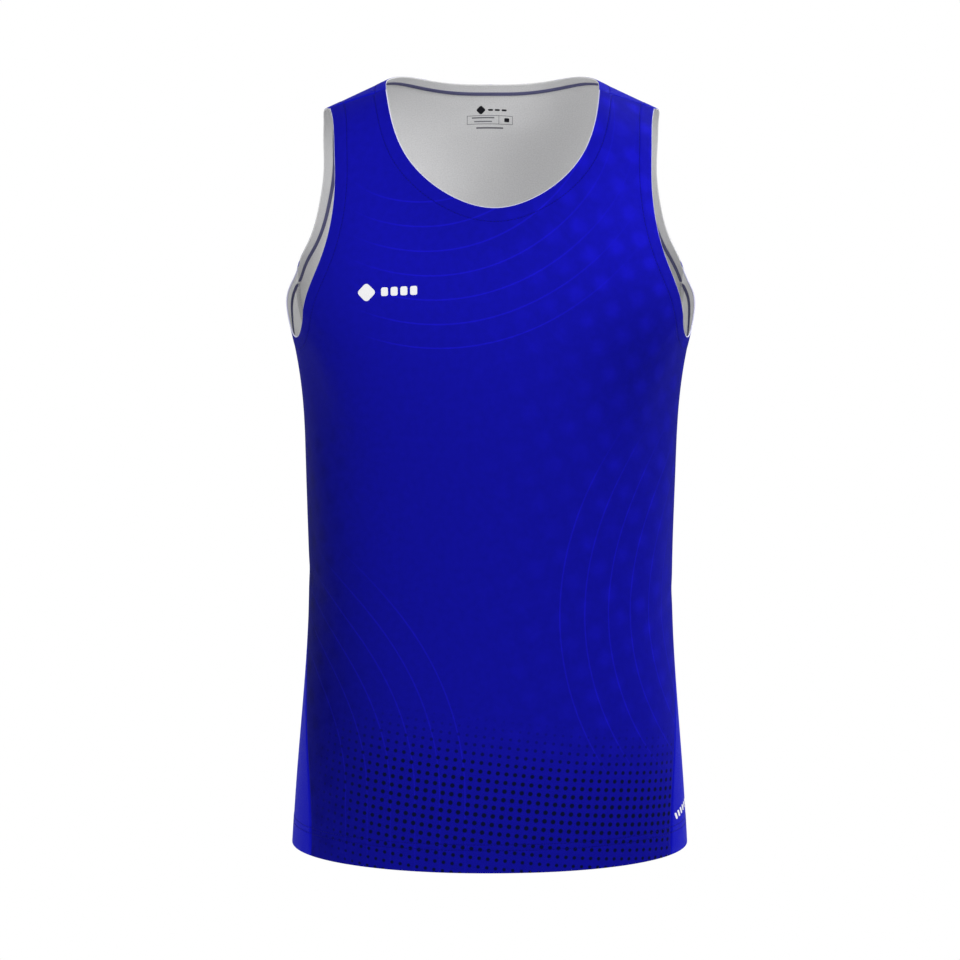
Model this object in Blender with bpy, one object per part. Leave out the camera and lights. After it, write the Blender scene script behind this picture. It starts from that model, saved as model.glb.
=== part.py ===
"""Running singlet, filled out as it is when worn, with nobody in it.

Two pieces of knit cloth make the whole garment:

  front_panel  the front, which wraps under each arm to a seam behind it
  back_panel   the back, which comes forward over the shoulders and at the sides of the hem

The cloth is drawn the way a pattern is drawn.  A point on it has two coordinates in metres:
"across" is the distance along the cloth from the centre line, and "along" is the distance
down the cloth from the top of the shoulder.  The LEVELS table gives the garment's form at
sixteen heights, and cloth_point() turns a point of the pattern into a point in space.  Each
panel is then an outline on its pattern, filled with a grid and given its thickness.

Frame: metres, +Z up, the front faces -Y, +X is to the right when the front is looked at.
The origin lies midway between the shoulders, at the height where the straps rest on them.
"""

import math

import bpy
import numpy as np

# ---- driving dimensions, in metres ----------------------------------------------------------
CLOTH_THICKNESS = 0.0012
SEAM_GAP = 0.0004              # bare space between two panels where they are sewn together
NECK_CORNER = 0.0915           # from the centre line to the neck edge on top of the shoulder
STRAP_SLOPE = math.tan(math.radians(25.0))
STRAP_REST = 0.0130            # from the origin up to the neck corner of the strap

# The garment's form.  "along" is the cloth's distance below the top of the shoulder and
# "height" how far the level lies below the neck corner.  The width is from the centre line to
# the side, and the two depths are from the shoulder line to the centre front and centre back.
# "roundness" is the power of the rounded oblong seen from above.  "tilt" is the share of the
# shoulder's slope that the level follows: all of it at the top, none on the body.
LEVELS = (
    # name,         along,  height, width,  front,  back,   roundness, tilt
    ("ridge",       0.000,  0.0000, 0.1700, 0.0000, 0.0000, 2.40, 1.00),
    ("crest",       0.020, -0.0045, 0.1702, 0.0240, 0.0240, 2.40, 1.00),
    ("yoke",        0.050, -0.0210, 0.1710, 0.0520, 0.0540, 2.40, 0.97),
    ("high strap",  0.100, -0.0640, 0.1740, 0.0780, 0.0840, 2.40, 0.80),
    ("low strap",   0.150, -0.1110, 0.1775, 0.0960, 0.1010, 2.38, 0.52),
    ("armhole",     0.200, -0.1590, 0.1812, 0.1080, 0.1085, 2.35, 0.22),
    ("arm side",    0.222, -0.1805, 0.1815, 0.1113, 0.1096, 2.33, 0.14),
    ("underarm",    0.243, -0.2014, 0.1778, 0.1138, 0.1100, 2.32, 0.07),
    ("below arm",   0.273, -0.2310, 0.1712, 0.1155, 0.1090, 2.30, 0.02),
    ("ribs",        0.315, -0.2730, 0.1650, 0.1160, 0.1060, 2.30, 0.00),
    ("midriff",     0.375, -0.3330, 0.1624, 0.1145, 0.1005, 2.30, 0.00),
    ("high waist",  0.440, -0.3980, 0.1606, 0.1115, 0.0968, 2.30, 0.00),
    ("waist",       0.505, -0.4630, 0.1602, 0.1095, 0.0962, 2.30, 0.00),
    ("hip",         0.590, -0.5480, 0.1655, 0.1110, 0.1018, 2.30, 0.00),
    ("low hip",     0.660, -0.6180, 0.1714, 0.1145, 0.1085, 2.20, 0.00),
    ("hem",         0.714, -0.6720, 0.1750, 0.1170, 0.1120, 2.10, 0.00),
)

# The side seam: how far it runs behind the widest line of the side (negative: in front of it).
SIDE_SEAM = (
    # along, behind
    (0.200,  0.043),
    (0.300,  0.037),
    (0.400,  0.024),
    (0.500,  0.001),
    (0.600, -0.034),
    (0.660, -0.0515),
    (0.714, -0.0585),
)

# The armhole edges, from the shoulder seam down to the side seam behind the arm.
FRONT_ARMHOLE = (
    # name,          across, along
    ("shoulder",     0.1400, 0.0080),
    ("strap front",  0.1380, 0.0340),
    ("strap waist",  0.1378, 0.0700),
    ("chest",        0.1380, 0.1010),
    ("chest bend",   0.1425, 0.1400),
    ("front bend",   0.1547, 0.1800),
    ("low front",    0.1734, 0.2200),
    ("under front",  0.1890, 0.2500),
    ("lowest",       0.2080, 0.2600),
    ("side",         0.2370, 0.2500),
    ("under back",   0.2600, 0.2240),
    ("seam",         0.2775, 0.2000),
)
BACK_ARMHOLE = (
    # name,          across, along
    ("shoulder",     0.1400, -0.0080),
    ("ridge",        0.1430,  0.0000),
    ("strap back",   0.1468,  0.0300),
    ("blade",        0.1497,  0.0620),
    ("high bend",    0.1520,  0.1000),
    ("back bend",    0.1580,  0.1320),
    ("low back",     0.1705,  0.1690),
    ("seam",         0.1915,  0.2000),
)

# The neck edges, from the centre line to the shoulder seam.
FRONT_NECK = (
    # name,          across, along
    ("centre",       0.0000, 0.1530),
    ("bowl",         0.0315, 0.1445),
    ("bowl side",    0.0570, 0.1250),
    ("neck side",    0.0765, 0.0960),
    ("neck front",   0.0866, 0.0640),
    ("shoulder",     0.0912, 0.0240),
)
BACK_NECK = (
    # name,          across, along
    ("centre",       0.0000,  0.0582),
    ("nape",         0.0300,  0.0545),
    ("neck back",    0.0565,  0.0405),
    ("corner",       0.0790,  0.0160),
    ("ridge",        0.0893,  0.0000),
    ("shoulder",     0.0912, -0.0240),
)

# Soft troughs in the cloth, on each half.  "turn" is the angle in degrees of the fold's run,
# from straight across the cloth, positive when its outer end is the higher one.
FRONT_FOLDS = (
    # name,            across, along, turn, length, breadth, depth
    ("underarm",       0.175,  0.300, 60.0, 0.085,  0.026,   0.0040),
    ("side drop",      0.190,  0.430, 80.0, 0.110,  0.028,   0.0020),
)
BACK_FOLDS = (
    # name,            across, along, turn, length, breadth, depth
    ("underarm",       0.150,  0.290, 55.0, 0.080,  0.028,   0.0036),
    ("small of back",  0.070,  0.500, 12.0, 0.090,  0.036,   0.0020),
    ("seat",           0.120,  0.600, 70.0, 0.100,  0.030,   0.0020),
)

# Where the strap begins on each panel: the named points of the two edges that it springs from.
FRONT_STRAP = ("bowl side", "front bend")
BACK_STRAP = ("neck back", "back bend")

# How finely the panels are faceted.
NECK_COLUMNS = 6
STRAP_COLUMNS = 5
ARM_COLUMNS = 10
BODY_ROWS = 20
STRAP_ROWS = 8
ARC_STEPS = 240                # steps used to measure along a level

COLOURS = {
    # panel:        linear red, green, blue, roughness
    "front_panel": (0.012, 0.010, 0.400, 0.62),
    "back_panel":  (0.022, 0.028, 0.480, 0.62),
}


# ---- smooth curves through the rows of a table ----------------------------------------------
def smooth_curve(stations, values):
    """Return a function giving a natural cubic spline through values at rising stations."""
    stations = np.asarray(stations, float)
    values = np.asarray(values, float)
    steps = np.diff(stations)
    slopes = np.diff(values, axis=0).T / steps
    count = len(stations)
    matrix = np.eye(count)
    right = np.zeros_like(values)
    for i in range(1, count - 1):
        matrix[i, i - 1:i + 2] = steps[i - 1], 2 * (steps[i - 1] + steps[i]), steps[i]
        right[i] = 6 * (slopes.T[i] - slopes.T[i - 1])
    bend = np.linalg.solve(matrix, right)

    def curve(place):
        place = np.asarray(place, float)
        i = np.clip(np.searchsorted(stations, place) - 1, 0, count - 2)
        step = steps[i]
        after = place - stations[i]
        before = step - after
        if values.ndim > 1:
            step, after, before = step[..., None], after[..., None], before[..., None]
        return (
            (bend[i] * before**3 + bend[i + 1] * after**3) / (6 * step)
            + (values[i] / step - bend[i] * step / 6) * before
            + (values[i + 1] / step - bend[i + 1] * step / 6) * after
        )

    return curve


def form_curve(front_column, back_column, front_sign=1.0):
    """Run one measure of LEVELS from the front hem up, over the shoulder, to the back hem."""
    along = [row[1] for row in LEVELS]
    front = [front_sign * row[front_column] for row in LEVELS]
    back = [row[back_column] for row in LEVELS]
    stations = [-place for place in reversed(along)] + along[1:]
    return smooth_curve(stations, front[::-1] + back[1:])


HEIGHT = form_curve(2, 2)
WIDTH = form_curve(3, 3)
DEPTH = form_curve(4, 5, front_sign=-1.0)
ROUNDNESS = form_curve(6, 6)
TILT = form_curve(7, 7)
BEHIND_SIDE = smooth_curve([row[0] for row in SIDE_SEAM], [row[1] for row in SIDE_SEAM])


# ---- the pattern and the form ---------------------------------------------------------------
def level_quarter(side, along):
    """Return x, y and distance from the centre line at steps along one quarter of a level.

    side is -1 on the front and +1 on the back.
    """
    signed = side * along
    power = 2.0 / ROUNDNESS(signed)
    angle = np.linspace(0.0, math.pi / 2, ARC_STEPS + 1)
    x = WIDTH(signed) * np.sin(angle) ** power
    y = DEPTH(signed) * np.cos(angle) ** power
    x[0] = 0.0
    y[-1] = 0.0
    distance = np.concatenate([[0.0], np.cumsum(np.hypot(np.diff(x), np.diff(y)))])
    return x, y, distance


def half_girth(side, along):
    """Return the distance from the centre line of one side to the widest line, at a level."""
    return level_quarter(side, along)[2][-1]


def shoulder_fall(x):
    """Return how far the shoulder lies below the neck corner: a slope, rounded off inside it."""
    if x > NECK_CORNER:
        return STRAP_SLOPE * (x - NECK_CORNER)
    return STRAP_SLOPE * (x**2 - NECK_CORNER**2) / (2 * NECK_CORNER)


def form_point(side, across, along):
    """Return the point of the form, without folds, under one point of a panel's pattern."""
    if along < 0:
        side, along = -side, -along
    x, y, distance = level_quarter(side, along)
    reach = abs(across)
    if reach > distance[-1]:
        past = reach - distance[-1]
        side = -side
        x, y, distance = level_quarter(side, along)
        reach = distance[-1] - past
    place_x = float(np.interp(reach, distance, x))
    place_y = float(np.interp(reach, distance, y))
    signed = side * along
    place_z = STRAP_REST + HEIGHT(signed) - TILT(signed) * shoulder_fall(place_x)
    return np.array([math.copysign(place_x, across), place_y, float(place_z)])


def outward(side, across, along):
    """Return the unit normal of the form, away from the hollow inside."""
    reach = 0.0015
    middle = max(abs(across), reach)
    sideways = form_point(side, middle + reach, along) - form_point(side, middle - reach, along)
    downward = form_point(side, middle, along + reach) - form_point(side, middle, along - reach)
    normal = np.cross(downward, sideways) * (-side)
    normal /= np.linalg.norm(normal)
    normal[0] = math.copysign(1.0, across) * normal[0] if across else 0.0
    return normal / np.linalg.norm(normal)


def fold_depth(folds, across, along):
    """Return how far the cloth sinks in at a point of the pattern."""
    sunk = 0.0
    for _, fold_across, fold_along, turn, length, breadth, depth in folds:
        angle = math.radians(turn)
        step_across = abs(across) - fold_across
        step_up = fold_along - along
        run = step_across * math.cos(angle) + step_up * math.sin(angle)
        off = step_up * math.cos(angle) - step_across * math.sin(angle)
        sunk += depth * math.exp(-((run / length) ** 2) - (off / breadth) ** 2)
    return sunk


def cloth_points(side, across, along):
    """Return the points of the cloth's outer and inner face at one point of a pattern."""
    sunk = 0.0
    if along > 0:
        own = abs(across)
        other = half_girth(-1, along) + half_girth(1, along) - own
        front_across, back_across = (own, other) if side < 0 else (other, own)
        sunk = fold_depth(FRONT_FOLDS, front_across, along)
        sunk += fold_depth(BACK_FOLDS, back_across, along)
    normal = outward(side, across, along)
    outer = form_point(side, across, along) - sunk * normal
    return outer, outer - CLOTH_THICKNESS * normal


# ---- outlines on the pattern ----------------------------------------------------------------
def edge_curve(rows, mirrored=False):
    """Return a smooth curve through an edge's rows, and the place of each named row on it.

    A mirrored edge goes on past the centre line, so that it is level where it crosses it.
    """
    points = np.array([row[1:] for row in rows])
    lengths = np.hypot(*np.diff(points, axis=0).T)
    stations = np.concatenate([[0.0], np.cumsum(lengths)])
    places = {row[0]: station for row, station in zip(rows, stations)}
    if mirrored:
        points = np.concatenate([points[:0:-1] * (-1.0, 1.0), points])
        stations = np.concatenate([-stations[:0:-1], stations])
    return smooth_curve(stations, points), places


def stretch(curve, start, end, count):
    """Return count + 1 points evenly along part of a curve."""
    return np.array([curve(place) for place in np.linspace(start, end, count + 1)])


def line(start, end, count):
    """Return count + 1 points evenly along a straight line on the pattern."""
    share = np.linspace(0.0, 1.0, count + 1)[:, None]
    return np.asarray(start) * (1 - share) + np.asarray(end) * share


def filled(bottom, top, inner, outer):
    """Fill the patch between four edges of a pattern with a grid of points."""
    rows, columns = len(inner), len(bottom)
    grid = np.zeros((rows, columns, 2))
    for i in range(rows):
        up = i / (rows - 1)
        for j in range(columns):
            out = j / (columns - 1)
            corners = (
                (1 - up) * ((1 - out) * bottom[0] + out * bottom[-1])
                + up * ((1 - out) * top[0] + out * top[-1])
            )
            grid[i, j] = (
                (1 - up) * bottom[j] + up * top[j]
                + (1 - out) * inner[i] + out * outer[i] - corners
            )
    return grid


def side_seam(side, count):
    """Return the side seam on a panel's pattern, from the hem up to the armhole."""
    top = SIDE_SEAM[0][0]
    bottom = SIDE_SEAM[-1][0]
    points = []
    for along in np.linspace(bottom, top, count + 1):
        behind = BEHIND_SIDE(along)
        points.append((half_girth(side, along) - side * behind - SEAM_GAP / 2, along))
    return np.array(points)


def shoulder_seam(side, inner_end, outer_end, count):
    """Return the shoulder seam on a panel's pattern, from the neck edge to the armhole."""
    points = line(inner_end, outer_end, count)
    points[:, 1] += SEAM_GAP / 2
    return points


def panel_patches(side, neck_rows, armhole_rows, strap):
    """Return the body patch and the strap patch of one half of a panel."""
    neck, neck_places = edge_curve(neck_rows, mirrored=True)
    armhole, armhole_places = edge_curve(armhole_rows)
    strap_inner = neck_places[strap[0]]
    strap_outer = armhole_places[strap[1]]

    seam = side_seam(side, BODY_ROWS)
    arm_edge = stretch(armhole, strap_outer, armhole_places["seam"], ARM_COLUMNS)
    arm_edge[-1] = seam[-1]
    strap_foot = line(neck(strap_inner), armhole(strap_outer), STRAP_COLUMNS)
    neck_edge = stretch(neck, 0.0, strap_inner, NECK_COLUMNS)
    top = np.concatenate([neck_edge, strap_foot[1:], arm_edge[1:]])
    hem = line((0.0, seam[0][1]), seam[0], len(top) - 1)
    centre = line(hem[0], top[0], BODY_ROWS)
    body = filled(hem, top, centre, seam)

    inner = stretch(neck, strap_inner, neck_places["shoulder"], STRAP_ROWS)
    outer = stretch(armhole, strap_outer, 0.0, STRAP_ROWS)
    seam_top = shoulder_seam(side, inner[-1], outer[-1], STRAP_COLUMNS)
    inner[-1] = seam_top[0]
    outer[-1] = seam_top[-1]
    return body, filled(strap_foot, seam_top, inner, outer)


# ---- meshes ---------------------------------------------------------------------------------
def make_material(name):
    """Return the plain finish of one panel."""
    red, green, blue, roughness = COLOURS[name]
    material = bpy.data.materials.new(name + "_knit")
    material.use_nodes = True
    shader = material.node_tree.nodes["Principled BSDF"]
    shader.inputs["Base Color"].default_value = (red, green, blue, 1.0)
    shader.inputs["Roughness"].default_value = roughness
    shader.inputs["Metallic"].default_value = 0.0
    return material


def make_panel(name, side, neck_rows, armhole_rows, strap):
    """Make one panel: an outer face, an inner face, and the cut edge that joins them."""
    outer_face = []
    inner_face = []
    numbers = {}

    def vertex(point):
        key = (round(point[0], 6), round(point[1], 6))
        if key not in numbers:
            numbers[key] = len(outer_face)
            outer, inner = cloth_points(side, *point)
            outer_face.append(outer)
            inner_face.append(inner)
        return numbers[key]

    faces = []
    for patch in panel_patches(side, neck_rows, armhole_rows, strap):
        for half in (-1.0, 1.0):
            grid = patch * (half, 1.0)
            for i in range(len(grid) - 1):
                for j in range(len(grid[0]) - 1):
                    corners = (grid[i, j], grid[i, j + 1], grid[i + 1, j + 1], grid[i + 1, j])
                    ring = [vertex(corner) for corner in corners]
                    faces.append(ring if half * side < 0 else ring[::-1])

    shift = len(outer_face)
    edges = {(ring[k - 1], ring[k]) for ring in faces for k in range(4)}
    cut_edges = sorted(edge for edge in edges if edge[::-1] not in edges)
    inner_faces = [[corner + shift for corner in reversed(ring)] for ring in faces]
    rim = [(end, start, start + shift, end + shift) for start, end in cut_edges]

    mesh = bpy.data.meshes.new(name)
    points = [tuple(point) for point in outer_face + inner_face]
    mesh.from_pydata(points, [], faces + inner_faces + rim)
    mesh.materials.append(make_material(name))
    mesh.shade_smooth()
    mesh.set_sharp_from_angle(angle=math.radians(40.0))
    panel = bpy.data.objects.new(name, mesh)
    bpy.context.scene.collection.objects.link(panel)
    return panel


def main():
    """Empty the scene and make both panels."""
    for item in list(bpy.data.objects):
        bpy.data.objects.remove(item, do_unlink=True)
    make_panel("front_panel", -1, FRONT_NECK, FRONT_ARMHOLE, FRONT_STRAP)
    make_panel("back_panel", 1, BACK_NECK, BACK_ARMHOLE, BACK_STRAP)


main()
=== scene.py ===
# %% [markdown]
# # A running singlet, filled out as if it were worn
# The garment is two pieces of knit cloth, a printed front and a plain back.  The solid model
# gives its size and is loaded first, as a frame that never moves.  Everything made below is
# in metres, with +Z up, the front facing -Y and the origin between the two shoulders.
# %% Load the frame
import math

import bmesh
import bpy
import numpy as np
from mathutils import Euler, Matrix, Vector
from mathutils.kdtree import KDTree


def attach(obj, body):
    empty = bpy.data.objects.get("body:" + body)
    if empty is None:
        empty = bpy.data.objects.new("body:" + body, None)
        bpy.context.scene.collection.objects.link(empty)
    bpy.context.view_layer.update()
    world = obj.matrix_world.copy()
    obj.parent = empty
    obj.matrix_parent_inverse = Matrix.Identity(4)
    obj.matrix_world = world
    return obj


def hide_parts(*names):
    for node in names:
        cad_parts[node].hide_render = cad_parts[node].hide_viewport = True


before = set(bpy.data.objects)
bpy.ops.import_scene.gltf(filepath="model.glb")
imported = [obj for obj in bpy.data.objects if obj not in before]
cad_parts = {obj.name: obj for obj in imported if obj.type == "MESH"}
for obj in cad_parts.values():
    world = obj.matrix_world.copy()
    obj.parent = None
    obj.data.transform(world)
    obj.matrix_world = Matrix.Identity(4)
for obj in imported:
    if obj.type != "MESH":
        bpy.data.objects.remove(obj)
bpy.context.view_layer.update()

scene = bpy.context.scene

# %% [markdown]
# ## Camera
# The garment is looked at from a little above and from far away, through a long lens, so that
# it keeps its proportions.  The camera is placed by backing away from a point inside the
# garment along the direction of view, which is easier to change than a bare position.
# %% The camera
AIM = Vector((-0.0095, 0.0, -0.3353))
VIEW_DISTANCE = 3.5
LOOKING_DOWN = math.radians(9.0)
TURNED_RIGHT = math.radians(1.2)
ROLLED = math.radians(0.15)

lens = bpy.data.cameras.new("long_lens")
lens.lens = 150.0
lens.sensor_width = 36.0
camera = bpy.data.objects.new("camera", lens)
scene.collection.objects.link(camera)
turn = Euler((math.pi / 2 - LOOKING_DOWN, 0.0, -TURNED_RIGHT)).to_matrix()
turn = turn @ Matrix.Rotation(ROLLED, 3, "Z")
camera.matrix_world = turn.to_4x4()
camera.location = AIM - VIEW_DISTANCE * (turn @ Vector((0.0, 0.0, -1.0)))
scene.camera = camera
scene.view_settings.view_transform = "Standard"
print("camera at", tuple(round(v, 3) for v in camera.location))

# %% [markdown]
# ## The garment's form
# Cloth is cut flat and then takes the form of a body, so it is drawn twice here.  On the
# pattern a point has two coordinates: "across", the distance along the cloth from the centre
# line, and "along", the distance down from the top of the shoulder.  The table gives the form
# at sixteen heights, and smooth curves through its rows give it everywhere between them.
# These are the solid model's own numbers, so the cloth lies where the solid says.
# %% The form at sixteen levels
STRAP_SLOPE = math.tan(math.radians(25.0))
STRAP_REST = 0.0130
NECK_CORNER = 0.0915
LEVELS = (
    # name,         along,  height, width,  front,  back,   roundness, tilt
    ("ridge",       0.000,  0.0000, 0.1700, 0.0000, 0.0000, 2.40, 1.00),
    ("crest",       0.020, -0.0045, 0.1702, 0.0240, 0.0240, 2.40, 1.00),
    ("yoke",        0.050, -0.0210, 0.1710, 0.0520, 0.0540, 2.40, 0.97),
    ("high strap",  0.100, -0.0640, 0.1740, 0.0780, 0.0840, 2.40, 0.80),
    ("low strap",   0.150, -0.1110, 0.1775, 0.0960, 0.1010, 2.38, 0.52),
    ("armhole",     0.200, -0.1590, 0.1812, 0.1080, 0.1085, 2.35, 0.22),
    ("arm side",    0.222, -0.1805, 0.1815, 0.1113, 0.1096, 2.33, 0.14),
    ("underarm",    0.243, -0.2014, 0.1778, 0.1138, 0.1100, 2.32, 0.07),
    ("below arm",   0.273, -0.2310, 0.1712, 0.1155, 0.1090, 2.30, 0.02),
    ("ribs",        0.315, -0.2730, 0.1650, 0.1160, 0.1060, 2.30, 0.00),
    ("midriff",     0.375, -0.3330, 0.1624, 0.1145, 0.1005, 2.30, 0.00),
    ("high waist",  0.440, -0.3980, 0.1606, 0.1115, 0.0968, 2.30, 0.00),
    ("waist",       0.505, -0.4630, 0.1602, 0.1095, 0.0962, 2.30, 0.00),
    ("hip",         0.590, -0.5480, 0.1655, 0.1110, 0.1018, 2.30, 0.00),
    ("low hip",     0.660, -0.6180, 0.1714, 0.1145, 0.1085, 2.20, 0.00),
    ("hem",         0.714, -0.6720, 0.1750, 0.1170, 0.1120, 2.10, 0.00),
)
HEM = LEVELS[-1][1]


def smooth_curve(stations, values):
    """Return a function giving a natural cubic spline through values at rising stations."""
    stations = np.asarray(stations, float)
    values = np.asarray(values, float)
    steps = np.diff(stations)
    slopes = np.diff(values, axis=0).T / steps
    count = len(stations)
    matrix = np.eye(count)
    right = np.zeros_like(values)
    for i in range(1, count - 1):
        matrix[i, i - 1:i + 2] = steps[i - 1], 2 * (steps[i - 1] + steps[i]), steps[i]
        right[i] = 6 * (slopes.T[i] - slopes.T[i - 1])
    bend = np.linalg.solve(matrix, right)

    def curve(place):
        place = np.asarray(place, float)
        i = np.clip(np.searchsorted(stations, place) - 1, 0, count - 2)
        step = steps[i]
        after = place - stations[i]
        before = step - after
        if values.ndim > 1:
            step, after, before = step[..., None], after[..., None], before[..., None]
        return (
            (bend[i] * before**3 + bend[i + 1] * after**3) / (6 * step)
            + (values[i] / step - bend[i] * step / 6) * before
            + (values[i + 1] / step - bend[i + 1] * step / 6) * after
        )

    return curve


def form_curve(front_column, back_column, front_sign=1.0):
    """Run one measure of LEVELS from the front hem up, over the shoulder, to the back hem."""
    along = [row[1] for row in LEVELS]
    front = [front_sign * row[front_column] for row in LEVELS]
    back = [row[back_column] for row in LEVELS]
    return smooth_curve([-v for v in reversed(along)] + along[1:], front[::-1] + back[1:])


HEIGHT = form_curve(2, 2)
WIDTH = form_curve(3, 3)
DEPTH = form_curve(4, 5, front_sign=-1.0)
ROUNDNESS = form_curve(6, 6)
TILT = form_curve(7, 7)

# %% [markdown]
# Each level is a rounded oblong.  A point is found by walking round it for the distance that
# the pattern says, on one half of the body, and past the widest line onto the other half.
# The walk is done for thousands of points together, because that is quick in numpy.
# %% From the pattern to the form
ARC_STEPS = 320
TOGETHER = 3000                # points worked out in one go


def quarters(signed):
    """Return x, y and distance at steps round one quarter of each level."""
    power = (2.0 / ROUNDNESS(signed))[:, None]
    angle = np.linspace(0.0, math.pi / 2, ARC_STEPS + 1)[None]
    x = WIDTH(signed)[:, None] * np.sin(angle) ** power
    y = DEPTH(signed)[:, None] * np.clip(np.cos(angle), 0.0, 1.0) ** power
    y[:, -1] = 0.0
    step = np.hypot(np.diff(x), np.diff(y))
    return x, y, np.concatenate([np.zeros((len(x), 1)), np.cumsum(step, axis=1)], axis=1)


def half_girth(side, along):
    """Return the distance from the centre line to the widest line, at each level."""
    return quarters(side * np.atleast_1d(np.asarray(along, float)))[2][:, -1]


def shoulder_fall(x):
    """Return how far the shoulder lies below the neck corner: a slope, rounded off inside."""
    rounded = STRAP_SLOPE * (x**2 - NECK_CORNER**2) / (2 * NECK_CORNER)
    return np.where(x > NECK_CORNER, STRAP_SLOPE * (x - NECK_CORNER), rounded)


def form_points(side, across, along):
    """Return the points of the smooth form under points of one panel's pattern."""
    across, along = np.broadcast_arrays(
        np.atleast_1d(np.asarray(across, float)), np.atleast_1d(np.asarray(along, float))
    )
    if len(across) > TOGETHER:
        cuts = range(0, len(across), TOGETHER)
        parts = [form_points(side, across[i:i + TOGETHER], along[i:i + TOGETHER]) for i in cuts]
        return np.concatenate(parts)
    signed = np.where(along < 0, -1.0, 1.0) * side * np.abs(along)
    reach = np.abs(across)
    own = half_girth(1.0, signed)
    past = reach > own
    other = half_girth(1.0, -signed)
    signed = np.where(past, -signed, signed)
    reach = np.where(past, other - (reach - own), reach)
    x, y, distance = quarters(signed)
    step = np.clip((distance < reach[:, None]).sum(axis=1) - 1, 0, ARC_STEPS - 1)
    row = np.arange(len(step))
    before = distance[row, step]
    share = (reach - before) / (distance[row, step + 1] - before)
    place_x = x[row, step] + share * (x[row, step + 1] - x[row, step])
    place_y = y[row, step] + share * (y[row, step + 1] - y[row, step])
    place_z = STRAP_REST + HEIGHT(signed) - TILT(signed) * shoulder_fall(place_x)
    return np.stack([np.where(across < 0, -place_x, place_x), place_y, place_z], axis=1)


def outward(side, across, along):
    """Return the unit normals of the form, away from the hollow inside."""
    reach = 0.0015
    middle = np.maximum(np.abs(across), reach)
    sideways = form_points(side, middle + reach, along) - form_points(side, middle - reach, along)
    downward = form_points(side, middle, along + reach) - form_points(side, middle, along - reach)
    normal = np.cross(downward, sideways) * (-side)
    normal /= np.linalg.norm(normal, axis=1)[:, None]
    normal[:, 0] *= np.sign(across)
    return normal / np.linalg.norm(normal, axis=1)[:, None]


print("chest girth", round(2 * float(half_girth(-1, 0.3)[0] + half_girth(1, 0.3)[0]), 3), "m")

# %% [markdown]
# ## The edges of the two pattern pieces
# The front wraps under each arm to a seam that lies behind it, and near the hem the same seam
# runs forward, so the back shows at both sides.  On top, the back comes over the shoulder.
# The neck and armhole edges are smooth curves through a few chosen points.  Two places differ
# from the solid model by 2 to 3 mm: the front neck is a little higher here, and the armholes end
# right on the side seam.
# %% Side seam, armholes and neck
SIDE_SEAM = (
    # along, behind the widest line of the side
    (0.200,  0.043),
    (0.300,  0.037),
    (0.400,  0.024),
    (0.500,  0.001),
    (0.600, -0.034),
    (0.660, -0.0515),
    (0.714, -0.0585),
)
FRONT_ARMHOLE = (
    # name,          across, along
    ("shoulder",     0.1400, 0.0080),
    ("strap front",  0.1380, 0.0340),
    ("strap waist",  0.1378, 0.0700),
    ("chest",        0.1380, 0.1010),
    ("chest bend",   0.1425, 0.1400),
    ("front bend",   0.1547, 0.1800),
    ("low front",    0.1734, 0.2200),
    ("under front",  0.1890, 0.2500),
    ("lowest",       0.2080, 0.2600),
    ("side",         0.2370, 0.2500),
    ("under back",   0.2600, 0.2240),
    ("seam",         0.2801, 0.2000),
)
BACK_ARMHOLE = (
    # name,          across, along
    ("shoulder",     0.1400, -0.0080),
    ("ridge",        0.1430,  0.0000),
    ("strap back",   0.1468,  0.0300),
    ("blade",        0.1497,  0.0620),
    ("high bend",    0.1520,  0.1000),
    ("back bend",    0.1580,  0.1320),
    ("low back",     0.1705,  0.1690),
    ("seam",         0.1945,  0.2000),
)
FRONT_NECK = (
    # name,          across, along
    ("centre",       0.0000, 0.1508),
    ("bowl",         0.0315, 0.1426),
    ("bowl side",    0.0570, 0.1238),
    ("neck side",    0.0765, 0.0960),
    ("neck front",   0.0866, 0.0640),
    ("shoulder",     0.0912, 0.0240),
)
BACK_NECK = (
    # name,          across, along
    ("centre",       0.0000,  0.0582),
    ("nape",         0.0300,  0.0545),
    ("neck back",    0.0565,  0.0405),
    ("corner",       0.0790,  0.0160),
    ("ridge",        0.0893,  0.0000),
    ("shoulder",     0.0912, -0.0240),
)
BEHIND_SIDE = smooth_curve([row[0] for row in SIDE_SEAM], [row[1] for row in SIDE_SEAM])
SIDE_SEAM_TOP = SIDE_SEAM[0][0]
SEAM_SLIT = 0.00005            # half the bare space left where the two panels meet
NEAR_SEAM = 0.19               # above this level no point belongs to the side seam


def edge_curve(rows, mirrored=False):
    """Return a smooth curve through an edge's rows, and the place of each named row on it."""
    points = np.array([row[1:] for row in rows])
    lengths = np.hypot(*np.diff(points, axis=0).T)
    stations = np.concatenate([[0.0], np.cumsum(lengths)])
    places = {row[0]: station for row, station in zip(rows, stations)}
    if mirrored:
        points = np.concatenate([points[:0:-1] * (-1.0, 1.0), points])
        stations = np.concatenate([-stations[:0:-1], stations])
    return smooth_curve(stations, points), places


def seam_across(side, along):
    """Return how far across a panel's pattern its side seam lies, at each level."""
    return half_girth(side, along) - side * BEHIND_SIDE(along) - SEAM_SLIT


FRONT, BACK = -1, 1
NECK = {FRONT: edge_curve(FRONT_NECK, True), BACK: edge_curve(BACK_NECK, True)}
ARMHOLE = {FRONT: edge_curve(FRONT_ARMHOLE), BACK: edge_curve(BACK_ARMHOLE)}
STRAP_STARTS = {FRONT: ("bowl side", "front bend"), BACK: ("neck back", "back bend")}
ARMHOLE_END = {side: ARMHOLE[side][1]["seam"] for side in (FRONT, BACK)}

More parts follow.
